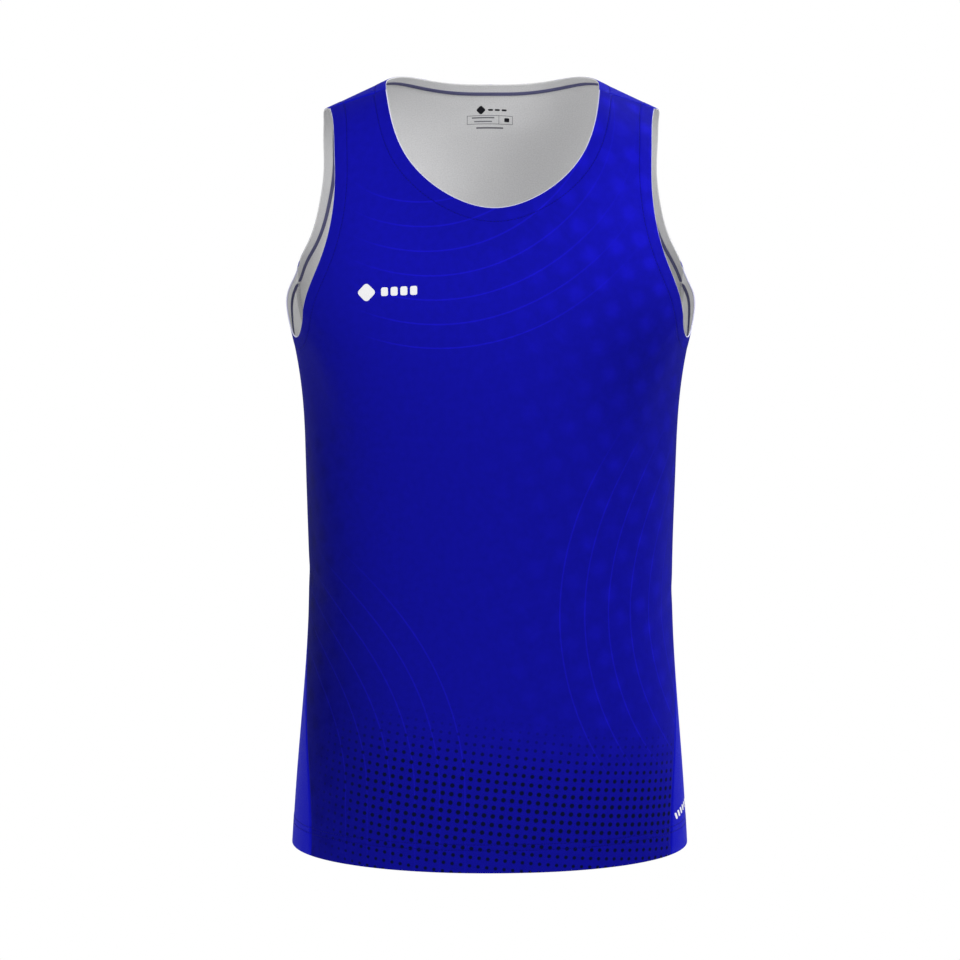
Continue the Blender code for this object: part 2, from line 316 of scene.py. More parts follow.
# %% [markdown]
# ## Where the rows of faces lie
# A mesh shows a turned edge, a row of stitches or a seam well only if its own rows run along
# them.  So the rows are closely spaced where something happens, and far apart elsewhere.
# %% Rows, and helpers for strips and patches
# Distances in from a turned edge, from a seam, and up from the hem, at which rows lie.
EDGE_ROWS = (0.0, 0.0002, 0.0005, 0.0009, 0.0016, 0.0030, 0.0055, 0.0080, 0.0092, 0.0099,
             0.0105, 0.0111, 0.0117, 0.0124, 0.0132, 0.0142, 0.0160)
SEAM_ROWS = (0.0, 0.0006, 0.0012, 0.0020, 0.0032, 0.0055, 0.0085)
HEM_ROWS = (0.0, 0.0002, 0.0005, 0.0009, 0.0020, 0.0050, 0.0090, 0.0130, 0.0165, 0.0184,
            0.0191, 0.0198, 0.0206, 0.0218, 0.0234, 0.0241, 0.0248, 0.0256, 0.0266, 0.0280,
            0.0310)
NECK_COLUMNS, STRAP_COLUMNS, ARM_COLUMNS = 24, 14, 42
BODY_ROWS, STRAP_ROWS = 100, 34
END_BLEND = 0.022              # over this length a strip turns to end along a seam
SEAM_SAMPLE = np.linspace(0.0, 0.03, 61)       # down the seam, far enough for a strip's width
PANEL_HALF = 0.28              # about half of a panel's width at the hem


def near_end(start, end, count, close):
    """Return places evenly from start, then ever closer together towards end."""
    even = np.linspace(start, end - close[-1], count)
    return np.concatenate([even, [end - gap for gap in reversed(close[:-1])]])


def into_cloth(edge, places):
    """Return the unit directions that point from an edge into the cloth."""
    step = 0.0005
    run = edge(places + step) - edge(places - step)
    run /= np.linalg.norm(run, axis=-1)[..., None]
    return np.stack([-run[..., 1], run[..., 0]], axis=-1)


def filled(bottom, top, inner, outer):
    """Fill the patch between four edges of a pattern with a grid of points."""
    def shares(points):
        lengths = np.concatenate([[0.0], np.cumsum(np.hypot(*np.diff(points, axis=0).T))])
        return lengths / lengths[-1]

    out = shares(bottom)[None, :, None]
    up = shares(inner)[:, None, None]
    corners = (
        (1 - up) * ((1 - out) * bottom[0] + out * bottom[-1])
        + up * ((1 - out) * top[0] + out * top[-1])
    )
    return (
        (1 - up) * bottom[None] + up * top[None]
        + (1 - out) * inner[:, None] + out * outer[:, None] - corners
    )


def line(start, end, count):
    """Return count + 1 points evenly along a straight line on the pattern."""
    share = np.linspace(0.0, 1.0, count + 1)[:, None]
    return np.asarray(start) * (1 - share) + np.asarray(end) * share


# %% [markdown]
# ## Cutting the flat pieces
# Each pattern piece is made of strips that follow the neck, the armhole and the hem, and of
# two wider patches, the body and the strap, that fill the space between the strips.  Only one
# half is worked out.  The other is its mirror image, and the two are merged.
# %% Strips and patches of the pattern
def turn_towards_end(at):
    """Return how far a strip has turned at each place, from 0 to 1 at its end."""
    return np.clip(1 - at / END_BLEND, 0, 1)[:, None] ** 2


def half_patches(side):
    """Return the grids that make up one half of a panel's pattern."""
    neck, neck_at = NECK[side]
    arm, arm_at = ARMHOLE[side]
    neck_strap, arm_strap = (at[name] for at, name in zip((neck_at, arm_at), STRAP_STARTS[side]))
    rows = np.array(EDGE_ROWS)[:, None]

    # the neck strip, whose last column runs along the shoulder seam
    shoulder_in, shoulder_out = neck(neck_at["shoulder"]), arm(0.0)
    shoulder_run = (shoulder_out - shoulder_in) / np.linalg.norm(shoulder_out - shoulder_in)
    bowl = np.linspace(0.0, neck_strap, NECK_COLUMNS + 1)
    rise = near_end(neck_strap, neck_at["shoulder"], STRAP_ROWS + 1, SEAM_ROWS)
    at = np.concatenate([bowl, rise[1:]])
    way = into_cloth(neck, at)
    way[0] = (0.0, 1.0)
    turned = turn_towards_end(at[-1] - at)
    way = way * (1 - turned) + shoulder_run * turned
    neck_strip = neck(at)[None] + rows[:, None] * way[None]

    # the armhole strip, which ends along the shoulder seam and along the side seam
    fall = near_end(-arm_strap, 0.0, STRAP_ROWS + 1, SEAM_ROWS)[::-1] * -1.0
    under = near_end(arm_strap, arm_at["seam"], ARM_COLUMNS + 1, SEAM_ROWS)
    at = np.concatenate([fall, under[1:]])
    way = into_cloth(arm, at)
    turned = turn_towards_end(at)
    way = way * (1 - turned) - shoulder_run * turned
    arm_strip = arm(at)[None] + rows[:, None] * way[None]
    seam_along = SIDE_SEAM_TOP + SEAM_SAMPLE
    seam_line = np.stack([seam_across(side, seam_along), seam_along], axis=1)
    seam_length = np.concatenate([[0], np.cumsum(np.hypot(*np.diff(seam_line, axis=0).T))])
    seam_ends = np.stack([np.interp(rows[:, 0], seam_length, seam_line[:, k]) for k in (0, 1)], 1)
    turned = turn_towards_end(at[-1] - at)
    beside_seam = arm_strip[:1] + (seam_ends - seam_ends[0])[:, None]
    arm_strip = arm_strip * (1 - turned) + beside_seam * turned
    arm_strip[:, -1] = seam_ends

    # the hem strip, as wide as the body's patch is
    columns = NECK_COLUMNS + STRAP_COLUMNS + len(under)
    shares = near_end(0.0, 1.0, columns - len(SEAM_ROWS) + 1, np.array(SEAM_ROWS) / PANEL_HALF)
    hem_along = HEM - np.array(HEM_ROWS)
    hem_strip = np.stack([
        seam_across(side, hem_along)[:, None] * shares[None],
        np.repeat(hem_along[:, None], len(shares), axis=1),
    ], axis=2)

    # the body, and the strap between its two strips
    neck_inner, arm_inner = neck_strip[-1], arm_strip[-1]
    strap_foot = line(neck_inner[len(bowl) - 1], arm_inner[len(fall) - 1], STRAP_COLUMNS)
    top = np.concatenate([neck_inner[:len(bowl)], strap_foot[1:], arm_inner[len(fall):]])
    centre = line(hem_strip[-1, 0], top[0], BODY_ROWS)
    seam_along = np.linspace(hem_along[-1], arm_inner[-1][1], BODY_ROWS + 1)
    seam = np.stack([seam_across(side, seam_along), seam_along], axis=1)
    seam[-1] = arm_inner[-1]
    body = filled(hem_strip[-1], top, centre, seam)
    strap_top = line(neck_inner[-1], arm_inner[0], STRAP_COLUMNS)
    strap = filled(strap_foot, strap_top, neck_inner[len(bowl) - 1:], arm_inner[:len(fall)][::-1])
    return [neck_strip, arm_strip[:, ::-1], hem_strip[::-1], body[::-1], strap[::-1]]


def cut_piece(side):
    """Return the flat pattern piece as points and faces, with both halves merged."""
    points, faces = [], []
    for grid in half_patches(side):
        for half in (1.0, -1.0):
            rows, columns = grid.shape[:2]
            first = len(points)
            points.extend(map(tuple, (grid * (half, 1.0)).reshape(-1, 2)))
            for i in range(rows - 1):
                for j in range(columns - 1):
                    a = first + i * columns + j
                    faces.append((a, a + 1, a + columns + 1, a + columns))
    flat = bpy.data.meshes.new("flat")
    flat.from_pydata([(across, -along, 0.0) for across, along in points], [], faces)
    work = bmesh.new()
    work.from_mesh(flat)
    bmesh.ops.remove_doubles(work, verts=work.verts, dist=1e-5)
    bmesh.ops.recalc_face_normals(work, faces=work.faces)
    if sum(face.normal.z for face in work.faces) < 0:
        bmesh.ops.reverse_faces(work, faces=work.faces)
    places = np.array([(v.co.x, -v.co.y) for v in work.verts])
    rings = [[v.index for v in face.verts] for face in work.faces]
    area = sum(face.calc_area() for face in work.faces)
    work.free()
    bpy.data.meshes.remove(flat)
    return places, rings, area


flat_pieces = {side: cut_piece(side) for side in (FRONT, BACK)}
for side, label in ((FRONT, "front"), (BACK, "back")):
    places, rings, area = flat_pieces[side]
    print(label, "pattern:", len(rings), "faces,", round(area, 4), "square metres")

# %% [markdown]
# ## What the cloth does
# Cloth that hangs on a form sinks in soft troughs, longer and deeper in some places than in
# others, and never quite alike on the left and the right.  The main ones are the solid
# model's.  The small ones are placed here, on the front, the sides and the back.
# %% Folds and creases
# turn: degrees from straight across the cloth, positive when the outer end is the higher one
SHARED_FOLDS = {
    FRONT: (
        # name,            across, along, turn, length, breadth, depth
        ("underarm",       0.175,  0.300, 60.0, 0.085,  0.026,   0.0040),
        ("side drop",      0.190,  0.430, 80.0, 0.110,  0.028,   0.0020),
    ),
    BACK: (
        ("underarm",       0.150,  0.290, 55.0, 0.080,  0.028,   0.0036),
        ("small of back",  0.070,  0.500, 12.0, 0.090,  0.036,   0.0020),
        ("seat",           0.120,  0.600, 70.0, 0.100,  0.030,   0.0020),
    ),
}
CREASES = {
    FRONT: (
        # across here is signed, and a negative depth is a soft ridge
        ("left arm drag",   -0.150, 0.262, 38.0, 0.050, 0.0080,  0.0008),
        ("left arm ridge",  -0.158, 0.246, 40.0, 0.038, 0.0075, -0.0006),
        ("right arm drag",   0.154, 0.270, 44.0, 0.044, 0.0085,  0.0009),
        ("right arm ridge",  0.163, 0.252, 42.0, 0.033, 0.0070, -0.0006),
        ("left strap",      -0.118, 0.085, 82.0, 0.036, 0.0090,  0.0005),
        ("right strap",      0.113, 0.098, 80.0, 0.042, 0.0100,  0.0006),
        ("left waist",      -0.182, 0.478, 14.0, 0.046, 0.0100,  0.0013),
        ("right waist",      0.186, 0.496, 20.0, 0.038, 0.0090,  0.0009),
        ("left hip",        -0.140, 0.585, 74.0, 0.064, 0.0150,  0.0010),
        ("right hip",        0.122, 0.610, 80.0, 0.055, 0.0160,  0.0009),
        ("hem middle",       0.028, 0.640, 88.0, 0.060, 0.0200,  0.0009),
        ("belly",           -0.052, 0.520, 84.0, 0.080, 0.0260,  0.0006),
        ("left seam head",  -0.272, 0.206,  0.0, 0.022, 0.0200,  0.0026),
        ("right seam head",  0.272, 0.206,  0.0, 0.022, 0.0200,  0.0028),
    ),
    BACK: (
        ("left blade",      -0.086, 0.190, 62.0, 0.068, 0.0150,  0.0026),
        ("right blade",      0.094, 0.176, 66.0, 0.058, 0.0140,  0.0022),
        ("left blade rise", -0.058, 0.215, 66.0, 0.055, 0.0180, -0.0012),
        ("nape",             0.006, 0.100,  4.0, 0.050, 0.0110,  0.0013),
        ("left arm drag",   -0.146, 0.240, 34.0, 0.058, 0.0105,  0.0024),
        ("left arm ridge",  -0.138, 0.218, 36.0, 0.042, 0.0090, -0.0012),
        ("right arm drag",   0.150, 0.252, 40.0, 0.050, 0.0100,  0.0022),
        ("right arm low",    0.140, 0.292, 30.0, 0.040, 0.0090,  0.0013),
        ("spine high",       0.004, 0.300, 88.0, 0.110, 0.0230,  0.0024),
        ("waist upper",     -0.040, 0.436,  7.0, 0.070, 0.0190,  0.0030),
        ("waist ridge",      0.014, 0.464,  2.0, 0.060, 0.0150, -0.0010),
        ("waist lower",      0.046, 0.494, -8.0, 0.056, 0.0200,  0.0032),
        ("left waist",      -0.132, 0.482, 24.0, 0.050, 0.0160,  0.0024),
        ("right waist",      0.142, 0.458, 20.0, 0.040, 0.0150,  0.0022),
        ("left flute",      -0.082, 0.632, 86.0, 0.092, 0.0200,  0.0042),
        ("middle flute",     0.014, 0.654, 91.0, 0.070, 0.0180,  0.0030),
        ("right flute",      0.096, 0.626, 84.0, 0.082, 0.0210,  0.0040),
        ("left hip",        -0.172, 0.590, 78.0, 0.062, 0.0160,  0.0022),
    ),
}


def sunk_by(folds, across, along):
    """Return how far a list of folds lets the cloth sink in."""
    sunk = np.zeros(len(across))
    for _, fold_across, fold_along, turned, length, breadth, depth in folds:
        angle = math.radians(turned)
        step_across = across - fold_across
        step_up = fold_along - along
        run = step_across * math.cos(angle) + step_up * math.sin(angle)
        off = step_up * math.cos(angle) - step_across * math.sin(angle)
        sunk += depth * np.exp(-((run / length) ** 2) - (off / breadth) ** 2)
    return sunk


def fold_depth(side, across, along):
    """Return how far the cloth sinks in, with the folds that reach over from the other panel."""
    level = np.clip(along, 0.0, HEM)
    girth = half_girth(FRONT, level) + half_girth(BACK, level)
    other = np.where(across < 0, -1.0, 1.0) * (girth - np.abs(across))
    sunk = np.zeros(len(across))
    for panel, at in ((side, across), (-side, other)):
        sunk += sunk_by(SHARED_FOLDS[panel], np.abs(at), along) * (along > 0)
        for name, crease_across, *rest in CREASES[panel]:
            half = np.sign(crease_across)
            fold = (name, abs(crease_across), *rest)
            sunk += sunk_by([fold], at * half, along) * (along > -0.03)
    return sunk


# %% [markdown]
# ## Turned edges, seams and thickness
# The neck, the armholes and the hem are turned to the inside and held by a row of stitches,
# the hem by two.  So a band of double cloth runs round them: it stands up a little, the
# stitches pull a shallow groove beside it, and the fold itself is rounded.  At a seam both
# panels roll inwards, which leaves a fine valley, though hardly any where the cloth is double.
# %% Relief of the cloth
CLOTH = 0.0007
BAND_CLOTH = 0.0006            # the turned layer inside
BAND_LIFT = 0.00025
GROOVE, GROOVE_HALF = 0.00036, 0.0008
FOLD_RADIUS = 0.0007
SEAM_DEPTH, SEAM_HALF = 0.0012, 0.0012
BAND_PAST = 0.0012             # how far the turned layer runs past its stitches
BAND_STEP = (-0.0004, 0.0008)  # where the step down to single cloth begins and ends
FOLD_ROUND, FOLD_THIN = 0.85, 1.75
LEAST_ROLL = 0.12              # the share of a seam's valley that is left where cloth is double
DOUBLE_TO_SINGLE = (0.002, 0.012)
STITCH_IN = {FRONT: 0.0117, BACK: 0.0104}      # the armhole's stitches, on each panel
NECK_STITCH_IN = {FRONT: 0.0106, BACK: 0.0092}
HEM_STITCHES_IN = (0.0198, 0.0248)
HEM_BAND = 0.0262


def edge_tree(curve, start, end):
    """Return a search tree over closely spaced points of an edge."""
    points = curve(np.arange(start, end, 0.0002))
    tree = KDTree(len(points))
    for number, (across, along) in enumerate(points):
        tree.insert((across, along, 0.0), number)
    tree.balance()
    return tree


def tree_distance(tree, across, along):
    """Return how far each point lies from the edge in a search tree."""
    places = zip(np.abs(across), along)
    return np.array([tree.find((a, b, 0.0))[2] for a, b in places])


NECK_TREE = {s: edge_tree(NECK[s][0], -0.01, NECK[s][1]["shoulder"] + 0.01) for s in NECK}
ARM_TREE = {s: edge_tree(ARMHOLE[s][0], -0.01, ARMHOLE_END[s] + 0.01) for s in ARMHOLE}


def eased(value, start, end):
    """Return 0 before start, 1 after end and a soft rise between them."""
    share = np.clip((value - start) / (end - start), 0.0, 1.0)
    return share * share * (3 - 2 * share)


def shoulder_distance(side, across, along):
    """Return how far each point lies below the shoulder seam's line."""
    start, end = NECK[side][0](NECK[side][1]["shoulder"]), ARMHOLE[side][0](0.0)
    run = (end - start) / np.linalg.norm(end - start)
    off = np.stack([np.abs(across), along], axis=1) - start
    distance = np.abs(run[0] * off[:, 1] - run[1] * off[:, 0])
    return np.where(np.abs(across) > 0.07, distance, 1.0)


def relief(side, across, along):
    """Return the outer face's height over the form, and the cloth's thickness."""
    neck = tree_distance(NECK_TREE[side], across, along)
    arm = tree_distance(ARM_TREE[side], across, along)
    hem = HEM - along
    seam_there = seam_across(side, np.clip(along, NEAR_SEAM, HEM))
    seam = np.where(along > NEAR_SEAM, seam_there - np.abs(across), 1)
    shoulder = shoulder_distance(side, across, along)
    height = -fold_depth(side, across, along)
    thickness = np.full(len(across), CLOTH)
    for distance, stitches, band in (
        (neck, (NECK_STITCH_IN[side],), NECK_STITCH_IN[side] + BAND_PAST),
        (arm, (STITCH_IN[side],), STITCH_IN[side] + BAND_PAST),
        (hem, HEM_STITCHES_IN, HEM_BAND),
    ):
        inside = 1 - eased(distance, band + BAND_STEP[0], band + BAND_STEP[1])
        height += BAND_LIFT * inside
        thickness += BAND_CLOTH * inside
        for place in stitches:
            height -= GROOVE * np.exp(-(((distance - place) / GROOVE_HALF) ** 2))
        into_fold = np.clip((FOLD_RADIUS - distance) / FOLD_RADIUS, 0.0, 1.0)
        round_off = FOLD_RADIUS * (1 - np.sqrt(1 - into_fold**2)) * FOLD_ROUND
        height -= round_off
        thickness -= FOLD_THIN * round_off
    from_edge = np.minimum.reduce([neck, arm, hem])
    single = LEAST_ROLL + (1 - LEAST_ROLL) * eased(from_edge, *DOUBLE_TO_SINGLE)
    for distance in (np.abs(seam), shoulder):
        height -= SEAM_DEPTH * single * np.exp(-((distance / SEAM_HALF) ** 2))
    return height, np.maximum(thickness, 0.0001)


def on_cloth(side, across, along, lift=0.0, inside=False):
    """Return points of a panel's outer or inner face, and the outward normals there."""
    across, along = np.asarray(across, float), np.asarray(along, float)
    height, thickness = relief(side, across, along)
    normal = outward(side, across, along)
    depth = height - thickness - lift if inside else height + lift
    return form_points(side, across, along) + depth[:, None] * normal, normal


# %% [markdown]
# ## The two panels
# Every point of the flat piece goes to its place on the form twice, once for the outer face
# and once for the inner one, and the two faces are joined round the edge.  The pattern's
# coordinates are kept as a UV map, so a print lies on the cloth as it was printed flat.
# %% Make the panels
FOLD_SHOWS = {FRONT: 0.0006, BACK: 0.0}        # the bare white of the fold, seen from outside
FOLD_INSIDE = 0.0016           # and from inside
ON_FOLD = 1e-4                 # a point nearer to an edge than this is on it
OUTER, INNER, FOLD = 0, 1, 2   # material slots


def shell_faces(rings, count):
    """Return the faces of both sides of a shell, and those that close it, edge by edge."""
    edges = {(ring[k - 1], ring[k]) for ring in rings for k in range(len(ring))}
    rim = sorted(edge for edge in edges if edge[::-1] not in edges)
    faces = rings + [[v + count for v in reversed(ring)] for ring in rings]
    faces += [(end, start, start + count, end + count) for start, end in rim]
    return faces, rim


def keep_pattern(mesh, places):
    """Store the pattern's coordinates of a mesh's points as its UV map."""
    layer = mesh.uv_layers.new(name="pattern")
    loops = np.empty(len(mesh.loops), dtype=np.int32)
    mesh.loops.foreach_get("vertex_index", loops)
    layer.uv.foreach_set("vector", places[loops].astype(np.float32).ravel())


def sewn_panel(name, side):
    """Make one panel as a closed thin shell with its pattern as UV map."""
    places, rings, _ = flat_pieces[side]
    across, along = places.T
    outer, _ = on_cloth(side, across, along)
    inner, _ = on_cloth(side, across, along, inside=True)
    count = len(places)
    rings = [ring[::-1] for ring in rings] if side == BACK else rings
    faces, rim = shell_faces(rings, count)
    turned = np.minimum(
        tree_distance(NECK_TREE[side], across, along),
        tree_distance(ARM_TREE[side], across, along))
    middle = np.array([turned[ring].mean() for ring in rings])
    slots = [FOLD if v < FOLD_SHOWS[side] else OUTER for v in middle]
    slots += [FOLD if v < FOLD_INSIDE else INNER for v in middle]
    slots += [FOLD if max(turned[a], turned[b]) < ON_FOLD else OUTER for a, b in rim]

    mesh = bpy.data.meshes.new(name)
    mesh.from_pydata(np.concatenate([outer, inner]).tolist(), [], faces)
    mesh.polygons.foreach_set("material_index", slots)
    keep_pattern(mesh, np.concatenate([places, places]))
    mesh.shade_smooth()
    piece = bpy.data.objects.new(name, mesh)
    scene.collection.objects.link(piece)
    area = sum(polygon.area for polygon in mesh.polygons) / 2
    print(name, len(mesh.polygons), "faces,", round(area, 4), "square metres of cloth")
    return piece


front_sheet = sewn_panel("front_sheet", FRONT)
back_sheet = sewn_panel("back_sheet", BACK)

# %% [markdown]
# ## Recipes for materials
# A material is a small tree of nodes.  Typing every link by hand hides the idea, so a recipe
# keeps one tree and offers the few steps that cloth needs: arithmetic on the pattern's
# coordinates, soft thresholds, noise, and the knit's own relief.
# %% Helpers for materials
def linear(red, green, blue):
    """Turn a colour of 0 to 255, as on a paint chart, into the renderer's linear colour."""
    shares = [value / 255 for value in (red, green, blue)]
    return [s / 12.92 if s <= 0.04045 else ((s + 0.055) / 1.055) ** 2.4 for s in shares] + [1.0]


class Recipe:
    """One material and the nodes that are being added to it."""

    def __init__(self, name, roughness, gloss=0.05, sheen=0.0, sheen_tint=(1.0, 1.0, 1.0, 1.0)):
        self.material = bpy.data.materials.new(name)
        self.material.use_nodes = True
        self.tree = self.material.node_tree
        self.shader = self.tree.nodes["Principled BSDF"]
        self.shader.inputs["Roughness"].default_value = roughness
        self.shader.inputs["Specular IOR Level"].default_value = gloss
        self.shader.inputs["Sheen Weight"].default_value = sheen
        self.shader.inputs["Sheen Roughness"].default_value = 0.45
        self.shader.inputs["Sheen Tint"].default_value = sheen_tint

    def node(self, kind, settings=None, **inputs):
        made = self.tree.nodes.new(kind)
        for key, value in (settings or {}).items():
            setattr(made, key, value)
        for key, value in inputs.items():
            self.feed(made.inputs[key.replace("_", " ")], value)
        return made

    def feed(self, socket, value):
        if isinstance(value, bpy.types.NodeSocket):
            self.tree.links.new(value, socket)
        else:
            socket.default_value = value

    def math(self, operation, *values):
        made = self.tree.nodes.new("ShaderNodeMath")
        made.operation = operation
        for socket, value in zip(made.inputs, values):
            self.feed(socket, value)
        return made.outputs[0]

    def total(self, *values):
        result = values[0]
        for value in values[1:]:
            result = self.math("ADD", result, value)
        return result

    def times(self, first, second):
        return self.math("MULTIPLY", first, second)

    def rise(self, value, start, end):
        """0 before start, 1 after end, softly between; start may be the larger one."""
        made = self.node("ShaderNodeMapRange", {"interpolation_type": "SMOOTHSTEP"})
        self.feed(made.inputs["Value"], value)
        low, high = min(start, end), max(start, end)
        flip = start > end
        for key, number in (("From Min", low), ("From Max", high),
                            ("To Min", float(flip)), ("To Max", float(not flip))):
            made.inputs[key].default_value = number
        return made.outputs["Result"]

    def pattern(self):
        """The two pattern coordinates, across and along."""
        uv = self.node("ShaderNodeUVMap", {"uv_map": "pattern"}).outputs["UV"]
        split = self.node("ShaderNodeSeparateXYZ", Vector=uv)
        return uv, split.outputs["X"], split.outputs["Y"]

    def noise(self, vector, scale, detail=2.0):
        made = self.node("ShaderNodeTexNoise", Vector=vector, Scale=scale, Detail=detail)
        return made.outputs["Fac"]

    def mix(self, share, first, second):
        made = self.node("ShaderNodeMix", {"data_type": "RGBA"})
        self.feed(made.inputs["Factor"], share)
        self.feed(made.inputs[6], first)
        self.feed(made.inputs[7], second)
        return made.outputs[2]

    def bump(self, height, distance, strength=1.0, before=None):
        made = self.node("ShaderNodeBump", Height=height, Distance=distance, Strength=strength)
        if before is not None:
            self.feed(made.inputs["Normal"], before)
        return made.outputs["Normal"]


# %% [markdown]
# ## The knit
# Interlock knit is rows of tiny V-shaped loops, about fourteen to the centimetre across and
# seventeen down.  They are far too small to model, so two waves on the pattern's coordinates
# make their relief, one for the ribs and one for the loops, and fine noise stands for the
# uneven yarn.
# %% The knit's relief and grain
RIBS = 2 * math.pi / 0.00070
LOOPS = 2 * math.pi / 0.00058


def knit(recipe, uv, across, along, depth):
    """Give a recipe the relief of the knit, and return the yarn's fine unevenness."""
    rib = recipe.math("SINE", recipe.times(across, RIBS))
    slant = recipe.times(recipe.math("ABSOLUTE", rib), 0.9)
    loop = recipe.math("SINE", recipe.total(recipe.times(along, LOOPS), slant))
    yarn = recipe.noise(uv, 900.0, 3.0)
    height = recipe.total(recipe.times(rib, 0.5), recipe.times(loop, 0.35), yarn)
    normal = recipe.bump(height, depth)
    soft = recipe.noise(uv, 55.0, 3.0)
    normal = recipe.bump(soft, 0.0012, 0.35, before=normal)
    recipe.feed(recipe.shader.inputs["Normal"], normal)
    return yarn


# %% [markdown]
# ## What is printed on the front
# The front is white cloth printed by heat transfer.  Its ground runs from navy at the centre
# and the left side to bright royal at the right shoulder.  Darker patches at both sides and
# under the right arm are painted shade, and the right shoulder carries some painted light.
# Over it lie three sets of thin arcs, a slanted grid of soft pale dots, and small dark dots
# that grow towards the hem.  The tables say where everything is, so a motif can be moved or
# resized there.
# %% Shades, arcs and dots
GROUND_SHARE = 0.50            # the ground's place between the shades, where no glow adds to it
SHADES = (
    # share, colour
    (0.00, (2, 2, 90)),
    (0.35, (11, 12, 133)),
    (0.65, (17, 16, 165)),
    (1.00, (24, 21, 206)),
)
# patches of the ground: some are the print's own, some are painted light and shade
PRINT_AND_SHADE_PATCHES = (
    # across, along, reach across, reach along, share added
    # lighter at the right shoulder: the print's bright royal, with painted light from the right
    (0.130,  0.120, 0.090, 0.120, 0.34),
    (-0.110, 0.080, 0.060, 0.120, 0.20),
    (-0.060, 0.190, 0.110, 0.060, 0.10),
    (0.000,  0.240, 0.120, 0.090, 0.10),
    (0.020,  0.420, 0.100, 0.160, 0.03),
    # painted shade down the left side, where it turns away from the light
    (-0.200, 0.430, 0.060, 0.170, -0.32),
    (-0.175, 0.600, 0.080, 0.130, -0.22),
    # painted shade under the right arm and at the right side, with painted light on the drape
    # below
    (0.130,  0.270, 0.055, 0.060, -0.17),
    (0.165,  0.400, 0.050, 0.120, -0.05),
    (0.150,  0.470, 0.060, 0.170, 0.10),
    (0.215,  0.360, 0.035, 0.150, -0.16),
    (0.010,  0.720, 0.190, 0.080, -0.06),
)
ARCS = (
    # name,      across, along, first radius, spacing (outwards), how many, straight below centre
    ("chest",    -0.048, 0.050, 0.0930,  0.0196, 7, False),
    ("low left", -0.270, 0.648, 0.2460, -0.0218, 6, True),
    ("right",     0.306, 0.490, 0.2490, -0.0222, 6, False),
)
ARC_HALF, ARC_SHARE = 0.00055, 0.22
PALE_PITCH, PALE_TURN = 0.0250, math.radians(-24.0)
PALE_EDGE, PALE_FULL = 0.0115, 0.0015          # distances from a pale dot's middle
PALE_SHARE, PALE_MORE_ABOVE, DIM_SHARE = 0.26, 0.14, -0.10
DARK_PITCH, DARK_TURN, DARK_SLANT = 0.0075, math.radians(6.5), -0.12
DARK_RADIUS, DARK_SMALLEST, DARK_SHRINK, DARK_EDGE = 0.00205, 0.40, 0.28, 0.0006
DOT_BLACK = (6, 12, 50)
MOTTLE_SHARE, YARN_SHARE = 0.18, 0.06
MOTTLE_SCALE, PATCH_SCALE = 170.0, 26.0
LIMITS = {
    # across or along: where a motif begins to show, and where it shows in full
    "chest": (("across", -0.135, -0.070), ("across", 0.150, 0.030)),
    "low left": (("along", 0.42, 0.50), ("across", -0.215, -0.175), ("along", 0.780, 0.600)),
    "right": (("along", 0.655, 0.600), ("along", 0.300, 0.400)),
    "pale dots": (("across", -0.060, 0.130), ("along", 0.665, 0.580)),
    "stronger dots": (("along", 0.280, 0.140),),
    "dim dots": (("across", -0.100, -0.180), ("along", 0.300, 0.360)),
    "dark dots": (("slope", 0.551, 0.655), ("across", -0.235, -0.055)),
    "smaller dots": (("along", 0.670, 0.720),),
}


def shown(recipe, place, motif):
    """Return the share, from 0 to 1, to which a motif shows at each point."""
    share = 1.0
    for number, (way, start, full) in enumerate(LIMITS[motif]):
        more = recipe.rise(place[way], start, full)
        share = recipe.times(share, more) if number else more
    return share


def squares(recipe, first, second):
    """Return the sum of two squares."""
    return recipe.total(recipe.times(first, first), recipe.times(second, second))


def arcs(recipe, place, row):
    """Return the share of one set of arcs that covers each point."""
    motif, centre_across, centre_along, first, spacing, count, straight_below = row
    off_across = recipe.math("SUBTRACT", place["across"], centre_across)
    off_along = recipe.math("SUBTRACT", place["along"], centre_along)
    if straight_below:
        off_along = recipe.math("MINIMUM", off_along, 0.0)
    radius = recipe.math("SQRT", squares(recipe, off_across, off_along))
    step = recipe.math("DIVIDE", recipe.math("SUBTRACT", radius, first), spacing)
    off_line = recipe.math("ABSOLUTE", recipe.math("SUBTRACT", step, recipe.math("ROUND", step)))
    width = ARC_HALF / abs(spacing)
    on_line = recipe.rise(off_line, 1.7 * width, 0.5 * width)
    after_first = recipe.rise(step, -0.5, -0.45)
    before_last = recipe.rise(step, count - 0.45, count - 0.55)
    within = recipe.times(after_first, before_last)
    return recipe.times(recipe.times(on_line, within), shown(recipe, place, motif))


def grid_distance(recipe, place, pitch, turned):
    """Return the distance in metres to the nearest point of a turned square grid."""
    offs = []
    across, along = place["across"], place["along"]
    for first, second, sign in ((across, along, 1.0), (along, across, -1.0)):
        mixed = recipe.total(
            recipe.times(first, math.cos(turned) / pitch),
            recipe.times(second, sign * math.sin(turned) / pitch))
        offs.append(recipe.math("SUBTRACT", mixed, recipe.math("ROUND", mixed)))
    return recipe.times(recipe.math("SQRT", squares(recipe, *offs)), pitch)


def print_and_shade_patch(recipe, place, row):
    """Return a soft patch of lighter or darker ground; some patches are print, some painted light
    and shade.
    """
    centre_across, centre_along, reach_across, reach_along, added = row
    off_across = recipe.math(
        "DIVIDE", recipe.math("SUBTRACT", place["across"], centre_across), reach_across)
    off_along = recipe.math(
        "DIVIDE", recipe.math("SUBTRACT", place["along"], centre_along), reach_along)
    fall = recipe.times(squares(recipe, off_across, off_along), -1.0)
    return recipe.times(recipe.math("EXPONENT", fall), added)


